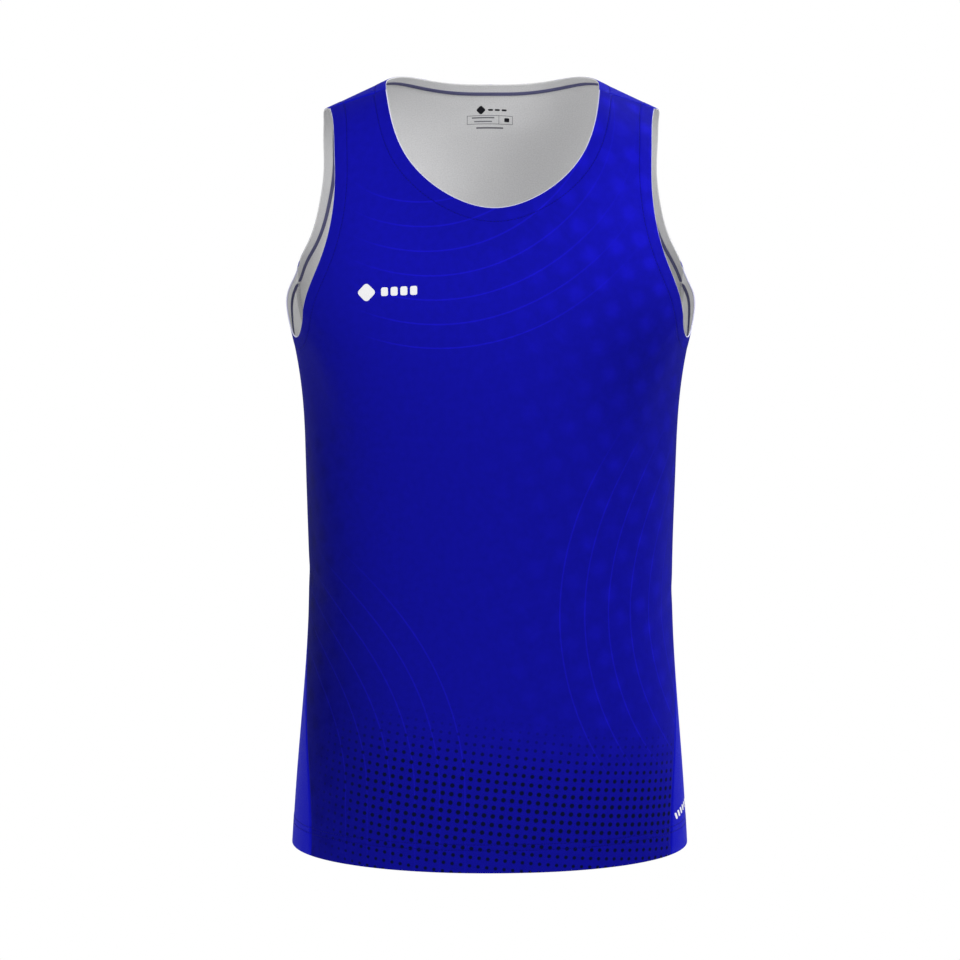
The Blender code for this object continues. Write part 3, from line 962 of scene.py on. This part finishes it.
# %% [markdown]
# ## Putting the print together
# The ground with its patches of print and of painted light and shade, the arcs and the pale
# dots only move a point to a lighter or darker place between the shades, so they are added up
# and looked up once.  The dark dots are laid over the result.
# %% Print the front
BLUE_SHEEN = (0.10, 0.12, 1.0, 1.0)
LIGHT_FALL = 1.0 / 1.25        # what the studio's light does to a colour, taken off again


def lit(*colour):
    """Return the cloth's own colour for a colour seen in the studio's light."""
    return [value * LIGHT_FALL for value in linear(*colour)[:3]] + [1.0]


def pale_and_dim_dots(recipe, uv, place):
    """Return what the soft dots add to the ground, and take from it on the left."""
    distance = grid_distance(recipe, place, PALE_PITCH, PALE_TURN)
    dot = recipe.rise(distance, PALE_EDGE, PALE_FULL)
    patchy = recipe.noise(uv, PATCH_SCALE, 1.0)
    more = recipe.times(shown(recipe, place, "stronger dots"), PALE_MORE_ABOVE)
    strength = recipe.times(patchy, recipe.total(PALE_SHARE, more))
    light = recipe.times(recipe.times(dot, shown(recipe, place, "pale dots")), strength)
    dim = recipe.times(recipe.times(dot, shown(recipe, place, "dim dots")), DIM_SHARE)
    return light, dim


def dark_dots(recipe, place):
    """Return how far the small dark dots cover each point; they grow towards the hem."""
    growth = shown(recipe, place, "dark dots")
    shrink = recipe.times(shown(recipe, place, "smaller dots"), -DARK_SHRINK)
    swell = recipe.total(DARK_SMALLEST, recipe.times(growth, 1.0 - DARK_SMALLEST))
    size = recipe.times(recipe.times(swell, recipe.total(1.0, shrink)), DARK_RADIUS)
    distance = grid_distance(recipe, place, DARK_PITCH, DARK_TURN)
    over = recipe.math("SUBTRACT", distance, size)
    dot = recipe.rise(over, DARK_EDGE, -DARK_EDGE)
    return recipe.times(dot, recipe.rise(growth, 0.02, 0.85))


def printed_front():
    """Return the printed cloth."""
    recipe = Recipe("front_print", 0.62, gloss=0.02, sheen=0.02, sheen_tint=BLUE_SHEEN)
    uv, across, along = recipe.pattern()
    slope = recipe.total(along, recipe.times(across, DARK_SLANT))
    place = {"across": across, "along": along, "slope": slope}
    yarn = knit(recipe, uv, across, along, 0.00006)
    mottle = recipe.noise(uv, MOTTLE_SCALE, 3.0)
    share = recipe.total(
        GROUND_SHARE,
        *[print_and_shade_patch(recipe, place, row) for row in PRINT_AND_SHADE_PATCHES],
        recipe.times(recipe.total(*[arcs(recipe, place, row) for row in ARCS]), ARC_SHARE),
        *pale_and_dim_dots(recipe, uv, place),
        recipe.times(recipe.math("SUBTRACT", mottle, 0.5), MOTTLE_SHARE),
        recipe.times(recipe.math("SUBTRACT", yarn, 0.5), YARN_SHARE))
    ramp = recipe.node("ShaderNodeValToRGB", Fac=share)
    steps = ramp.color_ramp.elements
    for number, (spot, colour) in enumerate(SHADES):
        step = steps[number] if number < 2 else steps.new(spot)
        step.position, step.color = spot, lit(*colour)
    covered = dark_dots(recipe, place)
    colour = recipe.mix(covered, ramp.outputs["Color"], lit(*DOT_BLACK))
    recipe.feed(recipe.shader.inputs["Base Color"], colour)
    return recipe.material


# %% [markdown]
# ## The plain cloths
# The back is the same knit in one royal blue.  Inside, the print doesn't show: the cloth is
# its own soft white, and on the front's inner face it is painted lighter, as painted light for
# the light that shines through the thin cloth.  Where an edge is turned, the fold stretches
# the printed face and lets a fine line of the white yarn through, with some blue in it.
# %% Back, inside and fold
def plain_cloth(
        name, colour, uneven, depth, roughness=0.50, gloss=0.02, sheen=0.03, tint=BLUE_SHEEN):
    """Return a knit of one colour that wanders a little."""
    recipe = Recipe(name, roughness, gloss=gloss, sheen=sheen, sheen_tint=tint)
    uv, across, along = recipe.pattern()
    yarn = knit(recipe, uv, across, along, depth)
    cloudy = recipe.noise(uv, 9.0, 2.0)
    wander = recipe.total(recipe.times(yarn, 0.75), recipe.times(cloudy, 0.25))
    darker = [value * (1 - uneven) for value in colour[:3]] + [1.0]
    brighter = [min(1.0, value * (1 + uneven)) for value in colour[:3]] + [1.0]
    recipe.feed(recipe.shader.inputs["Base Color"], recipe.mix(wander, darker, brighter))
    return recipe.material


front_print = printed_front()
back_blue = plain_cloth("back_blue", lit(13, 16, 188), 0.12, 0.00006, gloss=0.035)
WHITE_SHEEN = (1.0, 1.0, 1.0, 1.0)
inside_white = plain_cloth(
    "inside_white", lit(230, 230, 231), 0.26, 0.00005, 0.80, sheen=0.40, tint=WHITE_SHEEN)
# painted light: the same white cloth as inside the back, made whiter on the front's inner face
inside_white_painted_lighter = plain_cloth(
    "inside_white_painted_lighter", (0.94, 0.94, 0.95, 1.0), 0.10, 0.00005, 0.80, sheen=0.45, tint=WHITE_SHEEN)
fold_pale = plain_cloth("fold_pale", lit(228, 228, 252), 0.05, 0.00003, 0.70)
for piece, *materials in (
    (front_sheet, front_print, inside_white_painted_lighter, fold_pale),
    (back_sheet, back_blue, inside_white, inside_white),
):
    for material in materials:
        piece.data.materials.append(material)
print("materials:", [m.name for m in bpy.data.materials if "_" in m.name])

# %% [markdown]
# ## Thread
# Sewing thread is two plies twisted together, so it catches the light in short slanted
# glints.  A wave that runs across the thread at a slant gives it that twist, as relief and as
# painted shade between the plies in its colour.
# %% Thread materials
def thread_material(name, colour):
    """Return a twisted thread of one colour."""
    recipe = Recipe(name, 0.45)
    place = recipe.node("ShaderNodeTexCoord").outputs["Object"]
    wave = recipe.node("ShaderNodeTexWave", {"bands_direction": "DIAGONAL"},
                       Vector=place, Scale=700.0, Distortion=1.5)
    base = lit(*colour)
    # painted shade between the plies, full colour on them
    shade = [value * 0.72 for value in base[:3]] + [1.0]
    recipe.feed(recipe.shader.inputs["Base Color"], recipe.mix(wave.outputs["Fac"], shade, base))
    recipe.feed(recipe.shader.inputs["Normal"], recipe.bump(wave.outputs["Fac"], 0.00008))
    return recipe.material


top_thread = thread_material("top_thread", (10, 10, 126))
under_thread = thread_material("under_thread", (112, 112, 152))
binding_thread = thread_material("binding_thread", (226, 226, 228))

# %% [markdown]
# ## One stitch
# Each stitch shows as a short grain of thread that dives into the cloth at both ends.  It is
# modelled once: a six-sided rod, whose two end faces are drawn out and narrowed.  A grain has
# only a few dozen faces, because the garment has thousands of them.
# %% Model one stitch
STITCH_THICK = 0.00052


def end_faces(mesh, way):
    """Select the faces whose normal points along +X or -X in the mesh being edited."""
    work = bmesh.from_edit_mesh(mesh)
    for face in work.faces:
        face.select_set(face.normal.x * way > 0.9)
    work.select_flush_mode()
    bmesh.update_edit_mesh(mesh)


def stitch_grain(length, thick):
    """Return the points and faces of one stitch that runs along X."""
    bpy.ops.object.select_all(action="DESELECT")
    bpy.ops.mesh.primitive_cylinder_add(
        vertices=6, radius=thick / 2, depth=length * 0.5, rotation=(0, math.pi / 2, 0))
    grain = bpy.context.object
    bpy.ops.object.transform_apply(location=False, rotation=True, scale=False)
    bpy.ops.object.mode_set(mode="EDIT")
    bpy.ops.mesh.select_mode(type="FACE")
    for way in (1.0, -1.0):
        end_faces(grain.data, way)
        bpy.ops.mesh.extrude_region_move(TRANSFORM_OT_translate={
            "value": (way * length * 0.25, 0.0, -thick * 0.45)})
        bpy.ops.transform.resize(value=(1.0, 0.35, 0.35))
    bpy.ops.object.mode_set(mode="OBJECT")
    points = np.array([v.co[:] for v in grain.data.vertices])
    faces = [tuple(p.vertices) for p in grain.data.polygons]
    bpy.data.objects.remove(grain, do_unlink=True)
    return points, faces


TOP_PITCH = 0.0029
top_grain = stitch_grain(TOP_PITCH * 0.86, STITCH_THICK)
UNDER_PITCH = 0.0016
under_grain = stitch_grain(0.0044, 0.00085)
print("one stitch:", len(top_grain[1]), "faces")

# %% [markdown]
# ## Rows of stitches
# A row is laid along a line on the pattern.  The line is walked in equal steps on the cloth
# itself, and each step gets a copy of the stitch, turned to the row's direction and to the
# cloth's normal.  All the copies of a row become one mesh.
# %% Rows and copies
STEP = 0.0015                  # between the points of a line that a row follows
OVER_SHOULDER = 0.0006         # a row runs this far over the shoulder seam
PAST_SEAM = 0.012              # and this far past the side seam, where it is then cut
SHORT_OF_SEAM = 0.0002
HEM_POINTS = 400


def walked(points, normals, pitch):
    """Return evenly spaced places, directions and normals along a line of points."""
    lengths = np.concatenate([[0.0], np.cumsum(np.linalg.norm(np.diff(points, axis=0), axis=1))])
    count = max(1, round(lengths[-1] / pitch))
    at = (np.arange(count) + 0.5) * lengths[-1] / count
    place, ahead, back, up = (
        np.stack([np.interp(v, lengths, source[:, k]) for k in range(3)], axis=1)
        for v, source in (
            (at, points), (at + pitch / 2, points), (at - pitch / 2, points), (at, normals))
    )
    run = ahead - back
    run /= np.linalg.norm(run, axis=1)[:, None]
    up -= (up * run).sum(axis=1)[:, None] * run
    up /= np.linalg.norm(up, axis=1)[:, None]
    return place, run, up


def copies(grain, place, run, up):
    """Return the points and faces of one grain at every place."""
    shape, faces = grain
    side = np.cross(up, run)
    points = (
        place[:, None] + shape[None, :, :1] * run[:, None]
        + shape[None, :, 1:2] * side[:, None] + shape[None, :, 2:] * up[:, None]
    )
    shift = np.arange(len(place)) * len(shape)
    return points.reshape(-1, 3), [tuple(v + s for v in face) for s in shift for face in faces]


def edge_line(edge, start, end, depth):
    """Return the pattern points of a line that runs at a depth in from an edge."""
    at = np.arange(start, end, STEP)
    return edge(at) + into_cloth(edge, at) * depth


def lines_at(side, kind, depth):
    """Return the pattern lines of one kind of edge on both halves of a panel."""
    if kind == "neck":
        edge, at = NECK[side]
        right = edge_line(edge, 0.0, at["shoulder"] + OVER_SHOULDER, depth)
        right[0, 0] = 0.0
        return [np.concatenate([right[:0:-1] * (-1, 1), right])]
    if kind == "arm":
        end = ARMHOLE_END[side] + PAST_SEAM
        right = edge_line(ARMHOLE[side][0], -OVER_SHOULDER, end, depth)
        seam = seam_across(side, np.maximum(right[:, 1], NEAR_SEAM))
        right = right[right[:, 0] < seam - SHORT_OF_SEAM]
    else:
        along = HEM - depth
        half = float(seam_across(side, along)[0]) - SHORT_OF_SEAM
        level = np.full(HEM_POINTS, along)
        return [np.stack([np.linspace(-half, half, HEM_POINTS), level], axis=1)]
    return [right, right * (-1, 1)]


def joined(name, parts, material):
    """Make one object of many points and faces."""
    points, faces, first = [], [], 0
    for part_points, part_faces in parts:
        points.append(part_points)
        faces.extend(tuple(v + first for v in face) for face in part_faces)
        first += len(part_points)
    mesh = bpy.data.meshes.new(name)
    mesh.from_pydata(np.concatenate(points).tolist(), [], faces)
    mesh.materials.append(material)
    mesh.shade_smooth()
    piece = bpy.data.objects.new(name, mesh)
    scene.collection.objects.link(piece)
    return piece


def face_outward(mesh):
    """Turn every face of a closed mesh to the outside."""
    work = bmesh.new()
    work.from_mesh(mesh)
    bmesh.ops.recalc_face_normals(work, faces=work.faces)
    work.to_mesh(mesh)
    work.free()


# %% [markdown]
# ## Sewing
# Outside, a row is a single line of stitches.  Inside, the looper thread makes a band of
# crossing threads, so it is laid in two slants with four straight threads between them.
# %% Sew the neck, the armholes and the hem
THREAD_LIFT = 0.00012          # how far a thread's middle stands off the cloth
UNDER_SLANTS = ((0.72, 0.0), (-0.72, 0.00016))  # turned by radians, and further lift
UNDER_STRAIGHT = (-0.0014, -0.0005, 0.0005, 0.0014)


def top_row(side, kind, depth):
    """Return the stitches of one row on the outer face."""
    parts = []
    for flat in lines_at(side, kind, depth):
        points, normals = on_cloth(side, *flat.T, lift=THREAD_LIFT)
        parts.append(copies(top_grain, *walked(points, normals, TOP_PITCH)))
    return parts


def under_row(side, kind, depth):
    """Return the looped threads of one row on the inner face, as a band of slanted grains."""
    parts = []
    for flat in lines_at(side, kind, depth):
        points, normals = on_cloth(side, *flat.T, lift=THREAD_LIFT, inside=True)
        place, run, up = walked(points, -normals, UNDER_PITCH)
        side_way = np.cross(up, run)
        for slant, lift in UNDER_SLANTS:
            leaning = run * math.cos(slant) + side_way * math.sin(slant)
            parts.append(copies(under_grain, place + lift * up, leaning, up))
        for off in UNDER_STRAIGHT:
            parts.append(copies(under_grain, place + off * side_way, run, up))
    return parts


stitch_pieces = []
for side, label in ((FRONT, "front"), (BACK, "back")):
    rows = (
        ("neck", "neck", (NECK_STITCH_IN[side],)),
        ("armhole", "arm", (STITCH_IN[side],)),
        ("hem", "hem", HEM_STITCHES_IN),
    )
    for place_name, kind, depths in rows:
        top = [part for depth in depths for part in top_row(side, kind, depth)]
        under = [part for depth in depths for part in under_row(side, kind, depth)]
        name = f"{label}_{place_name}"
        stitch_pieces.append((side, joined(name + "_topstitch", top, top_thread)))
        stitch_pieces.append((side, joined(name + "_understitch", under, under_thread)))
print("rows of stitches:", [(p.name, len(p.data.polygons)) for _, p in stitch_pieces])

# %% [markdown]
# ## Seam allowances
# Inside a seam the two cloths run on for a few millimetres, side by side, bound together by
# an overlocked thread and pressed towards the back.  It is a narrow strip, so it is drawn as
# one on the pattern of the back panel, and its outer edge carries a row of slanted stitches.
# %% Seam allowances inside
ALLOWANCE = 0.0068
ALLOWANCE_THICK = 0.0010
OVERLOCK_PITCH = 0.0022
OVERLOCK_SLANT = 1.05          # radians from the seam's own direction


def allowance(name, side, line_points, ways):
    """Make a strip that lies on the inner face, from a seam line towards one side."""
    offsets = np.array((-0.0012, -0.0004, 0.0015, 0.0040, 0.0060, ALLOWANCE))
    rises = np.array((0.0, 0.85, 1.0, 1.0, 0.9, 0.35)) * ALLOWANCE_THICK
    grids = []
    for lift_share in (1.0, 0.0):
        rows = []
        for offset, rise in zip(offsets, rises):
            flat = line_points + ways * offset
            points, _ = on_cloth(side, *flat.T, lift=rise * lift_share + 0.00004, inside=True)
            rows.append(points)
        grids.append(np.array(rows))
    count = len(line_points)
    points = np.concatenate([grid.reshape(-1, 3) for grid in grids])
    shift = len(offsets) * count
    faces = []
    for i in range(len(offsets) - 1):
        for j in range(count - 1):
            a = i * count + j
            faces.append((a, a + 1, a + count + 1, a + count))
            faces.append(tuple(v + shift for v in (a + count, a + count + 1, a + 1, a)))
    border = [i * count for i in range(len(offsets))]
    border += [(len(offsets) - 1) * count + j for j in range(1, count)]
    border += [i * count + count - 1 for i in range(len(offsets) - 2, -1, -1)]
    border += list(range(count - 2, 0, -1))
    for a, b in zip(border, border[1:] + border[:1]):
        faces.append((a, b, b + shift, a + shift))
    strip = joined(name, [(points, faces)], inside_white)
    keep_pattern(strip.data, np.concatenate([line_points + ways * v for v in offsets] * 2))
    face_outward(strip.data)

    edge = line_points + ways * (ALLOWANCE - OVERLOCK_PITCH)
    points, normals = on_cloth(side, *edge.T, lift=ALLOWANCE_THICK + 0.0002, inside=True)
    place, run, up = walked(points, -normals, OVERLOCK_PITCH)
    side_way = np.cross(up, run)
    parts = []
    for slant in (OVERLOCK_SLANT, -OVERLOCK_SLANT):
        leaning = run * math.cos(slant) + side_way * math.sin(slant)
        parts.append(copies(overlock_grain, place, leaning, up))
    threads = joined(name + "_overlock", parts, binding_thread)
    return [strip, threads]


CLEAR_OF_ARMHOLE, CLEAR_OF_HEM = 0.0135, 0.0012       # a side seam's strip ends short of both
CLEAR_OF_NECK, CLEAR_OF_SHOULDER_END = 0.0128, 0.0122  # and so does a shoulder seam's strip
SIDE_POINTS, SHOULDER_POINTS = 130, 16
overlock_grain = stitch_grain(0.0040, 0.0004)
allowance_pieces = []
for half, label in ((1.0, "right"), (-1.0, "left")):
    lowest = HEM - HEM_BAND - CLEAR_OF_HEM
    along = np.linspace(SIDE_SEAM_TOP + CLEAR_OF_ARMHOLE, lowest, SIDE_POINTS)
    seam_line = np.stack([seam_across(BACK, along) * half, along], axis=1)
    ways = np.tile((-half, 0.0), (len(along), 1))
    allowance_pieces += allowance(f"{label}_side_allowance", BACK, seam_line, ways)
    start = NECK[BACK][0](NECK[BACK][1]["shoulder"])
    end = ARMHOLE[BACK][0](0.0)
    length = np.linalg.norm(end - start)
    run = (end - start) / length
    span = np.linspace(CLEAR_OF_NECK, length - CLEAR_OF_SHOULDER_END, SHOULDER_POINTS)
    shoulder_line = (start + run * span[:, None]) * (half, 1.0)
    ways = np.tile(np.array((-run[1], run[0])) * (half, 1.0), (len(span), 1))
    allowance_pieces += allowance(f"{label}_shoulder_allowance", BACK, shoulder_line, ways)
print("allowances:", [p.name for p in allowance_pieces])

# %% [markdown]
# ## A flat plate, and how it is laid on
# Such tops carry small flat transfers.  Each is modelled flat, as rounded plates in the
# pattern's own coordinates, cut finely so that it can bend, and then laid onto the cloth.
# %% Helpers for the marks
FILM = 0.00016
FILM_PIECE = 0.004             # the plates are cut into pieces of this size


def flat_plate(across, along, width, height, corner, turned=0.0, lean=0.0):
    """Add a rounded plate on the flat pattern, with X as across and -Y as along."""
    bpy.ops.object.select_all(action="DESELECT")
    bpy.ops.mesh.primitive_plane_add(size=1.0)
    plate = bpy.context.object
    bpy.ops.object.mode_set(mode="EDIT")
    bpy.ops.mesh.select_all(action="SELECT")
    bpy.ops.transform.resize(value=(width, height, 1.0))
    bpy.ops.mesh.bevel(offset=corner, segments=4, affect="VERTICES")
    bpy.ops.mesh.select_all(action="SELECT")
    bpy.ops.transform.rotate(
        value=-math.radians(turned), orient_axis="Z", center_override=(0.0, 0.0, 0.0))
    bpy.ops.transform.translate(value=(across, -along, 0.0))
    bpy.ops.object.mode_set(mode="OBJECT")
    if lean:
        for vertex in plate.data.vertices:
            vertex.co.x += lean * (vertex.co.y + along)
    return plate


def cut_finely(plate, size):
    """Cut a flat plate by a grid of straight cuts, so that it can bend with the cloth."""
    corners = np.array([v.co[:2] for v in plate.data.vertices])
    low, high = corners.min(axis=0), corners.max(axis=0)
    bpy.ops.object.mode_set(mode="EDIT")
    for axis in (0, 1):
        steps = int((high[axis] - low[axis]) / size)
        for number in range(1, steps + 1):
            at = low[axis] + (high[axis] - low[axis]) * number / (steps + 1)
            where, way = [0.0, 0.0, 0.0], [0.0, 0.0, 0.0]
            where[axis], way[axis] = at, 1.0
            bpy.ops.mesh.select_all(action="SELECT")
            bpy.ops.mesh.bisect(plane_co=where, plane_no=way)
    bpy.ops.object.mode_set(mode="OBJECT")


def laid_on(name, side, plates, material, inside=False):
    """Join flat plates, bend them to the cloth and give the film its thickness."""
    for plate in plates:
        bpy.ops.object.select_all(action="DESELECT")
        plate.select_set(True)
        bpy.context.view_layer.objects.active = plate
        cut_finely(plate, FILM_PIECE)
    bpy.ops.object.select_all(action="DESELECT")
    for plate in plates:
        plate.select_set(True)
    bpy.context.view_layer.objects.active = plates[0]
    if len(plates) > 1:
        bpy.ops.object.join()
    mark = bpy.context.object
    mark.name = mark.data.name = name
    flat = np.array([(v.co.x, -v.co.y) for v in mark.data.vertices])
    base, _ = on_cloth(side, *flat.T, lift=0.00004, inside=inside)
    top, _ = on_cloth(side, *flat.T, lift=FILM, inside=inside)
    count = len(flat)
    rings = [list(p.vertices) for p in mark.data.polygons]
    faces, _ = shell_faces(rings, count)
    bpy.data.objects.remove(mark, do_unlink=True)
    film = joined(name, [(np.concatenate([top, base]), faces)], material)
    face_outward(film.data)
    bpy.ops.object.select_all(action="DESELECT")
    film.select_set(True)
    bpy.context.view_layer.objects.active = film
    bpy.ops.object.shade_smooth_by_angle(angle=math.radians(35.0))
    return film


# %% [markdown]
# ## The small marks
# One mark is on the chest, one near the side of the hem and one inside the neck.  They are
# plain shapes that say nothing: diamonds, blocks, dashes and rules.
# %% Make the marks
def film_material(name, colour, roughness):
    """Return a thin printed film with a little wear."""
    recipe = Recipe(name, roughness)
    place = recipe.node("ShaderNodeTexCoord").outputs["Object"]
    grain = recipe.noise(place, 1400.0, 2.0)
    base = lit(*colour)
    worn = [value * 0.90 for value in base[:3]] + [1.0]
    recipe.feed(recipe.shader.inputs["Base Color"], recipe.mix(grain, worn, base))
    recipe.feed(recipe.shader.inputs["Normal"], recipe.bump(grain, 0.00003))
    return recipe.material


white_film = film_material("white_film", (250, 250, 252), 0.5)
grey_ink = film_material("grey_ink", (128, 128, 134), 0.7)
dark_ink = film_material("dark_ink", (34, 34, 40), 0.7)

CHEST_LEVEL = 0.2130
chest_plates = [flat_plate(-0.1095, CHEST_LEVEL, 0.0125, 0.0125, 0.0030, turned=45.0)]
for number in range(4):
    across = -0.0934 + 0.0084 * number
    chest_plates.append(flat_plate(across, CHEST_LEVEL, 0.0060, 0.0074, 0.0016))
chest_mark = laid_on("chest_mark", FRONT, chest_plates, white_film)

side_plates = []
for number in range(6):
    across, along = 0.2745 - 0.0062 * number, 0.6812 - 0.0012 * number
    side_plates.append(flat_plate(across, along, 0.0038, 0.0060, 0.0011, lean=0.5))
side_mark = laid_on("side_mark", BACK, side_plates, white_film)

NAME_LEVEL, FRAME_LEVEL = 0.0830, 0.0915
dark_plates = [flat_plate(-0.0080, NAME_LEVEL, 0.0062, 0.0062, 0.0014, turned=45.0)]
for number in range(3):
    dark_plates.append(flat_plate(0.0005 + 0.0060 * number, NAME_LEVEL, 0.0044, 0.0016, 0.0007))
dark_plates.append(flat_plate(0.0150, FRAME_LEVEL, 0.0044, 0.0034, 0.0008))
neck_mark = laid_on("neck_mark", BACK, dark_plates, dark_ink, inside=True)

FRAME_WIDE, FRAME_HIGH, RULE, SHARP = 0.0400, 0.0072, 0.0004, 0.0001
FRAME_ENDS = (-FRAME_WIDE / 2, FRAME_WIDE / 2, 0.0080)
grey_plates = [
    flat_plate(0.0, FRAME_LEVEL + way * FRAME_HIGH / 2, FRAME_WIDE, RULE, SHARP)
    for way in (-1, 1)
]
grey_plates += [flat_plate(across, FRAME_LEVEL, RULE, FRAME_HIGH, SHARP) for across in FRAME_ENDS]
grey_plates += [
    flat_plate(-0.0060, 0.0898, 0.0200, 0.0011, 0.0004),
    flat_plate(-0.0060, 0.0930, 0.0160, 0.0009, 0.0004),
    flat_plate(0.0, 0.0985, 0.0240, 0.0013, 0.0005),
]
neck_rules = laid_on("neck_rules", BACK, grey_plates, grey_ink, inside=True)

# %% [markdown]
# ## The studio
# The garment hangs in front of white, over a white floor.  If all that white shone on the
# cloth, it would look flat, so the floor and the sky are white only as seen by the camera
# and dimmer as lights.  Four large lamps model the form, two in front and two behind.  The
# two on the +X side are higher and stronger, and the two on the -X side fill in the shadows.
# %% Floor, sky and lamps
FLOOR = -1.15
SKY_LIGHT = 0.50
WHITE = (1.0, 1.0, 1.0, 1.0)


def white_when_seen(tree, dim, white, output):
    """Let the camera see one shader, and every other ray the other."""
    seen = tree.nodes.new("ShaderNodeLightPath")
    choice = tree.nodes.new("ShaderNodeMixShader")
    tree.links.new(seen.outputs["Is Camera Ray"], choice.inputs["Fac"])
    tree.links.new(dim, choice.inputs[1])
    tree.links.new(white, choice.inputs[2])
    tree.links.new(choice.outputs["Shader"], tree.nodes[output].inputs["Surface"])


bpy.ops.object.select_all(action="DESELECT")
bpy.ops.mesh.primitive_plane_add(size=80.0, location=(0.0, 0.0, FLOOR))
floor = bpy.context.object
floor.name = "floor"
bpy.ops.object.transform_apply(location=True, rotation=False, scale=False)
paint = bpy.data.materials.new("floor_paint")
paint.use_nodes = True
matt = paint.node_tree.nodes["Principled BSDF"]
matt.inputs["Base Color"].default_value = (0.60, 0.60, 0.60, 1.0)
matt.inputs["Roughness"].default_value = 0.9
shine = paint.node_tree.nodes.new("ShaderNodeEmission")
shine.inputs["Color"].default_value = WHITE
white_when_seen(
    paint.node_tree, matt.outputs["BSDF"], shine.outputs["Emission"], "Material Output")
floor.data.materials.append(paint)

sky = bpy.data.worlds.new("studio_sky")
sky.use_nodes = True
dim = sky.node_tree.nodes["Background"]
dim.inputs["Color"].default_value = WHITE
dim.inputs["Strength"].default_value = SKY_LIGHT
white = sky.node_tree.nodes.new("ShaderNodeBackground")
white.inputs["Color"].default_value = WHITE
white_when_seen(
    sky.node_tree, dim.outputs["Background"], white.outputs["Background"], "World Output")
scene.world = sky

LAMPS = (
    # name,       place,              size, power
    ("key",       (1.5, -2.3, 1.1),   1.5,  51.0),
    ("fill",      (-2.0, -2.0, 0.3),  1.8,  33.0),
    ("back_key",  (2.3, 1.5, 1.3),    1.2,  70.0),
    ("back_fill", (-2.0, 1.8, 0.2),   1.8,  12.0),
)
for name, place, size, power in LAMPS:
    light = bpy.data.lights.new(name, "AREA")
    light.size = size
    light.energy = power
    lamp = bpy.data.objects.new(name, light)
    lamp.location = place
    aim = Vector((0.0, 0.0, -0.3)) - Vector(place)
    lamp.rotation_euler = aim.to_track_quat("-Z", "Y").to_euler()
    scene.collection.objects.link(lamp)

by_side = {FRONT: [], BACK: []}
for side, piece in stitch_pieces:
    by_side[side].append(piece)
for piece in allowance_pieces:
    by_side[BACK].append(piece)
by_side[FRONT].append(chest_mark)
by_side[BACK] += [side_mark, neck_mark, neck_rules]
for piece in (front_sheet, back_sheet, *by_side[FRONT], *by_side[BACK]):
    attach(piece, "root")
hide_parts("front_panel")
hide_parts("back_panel")
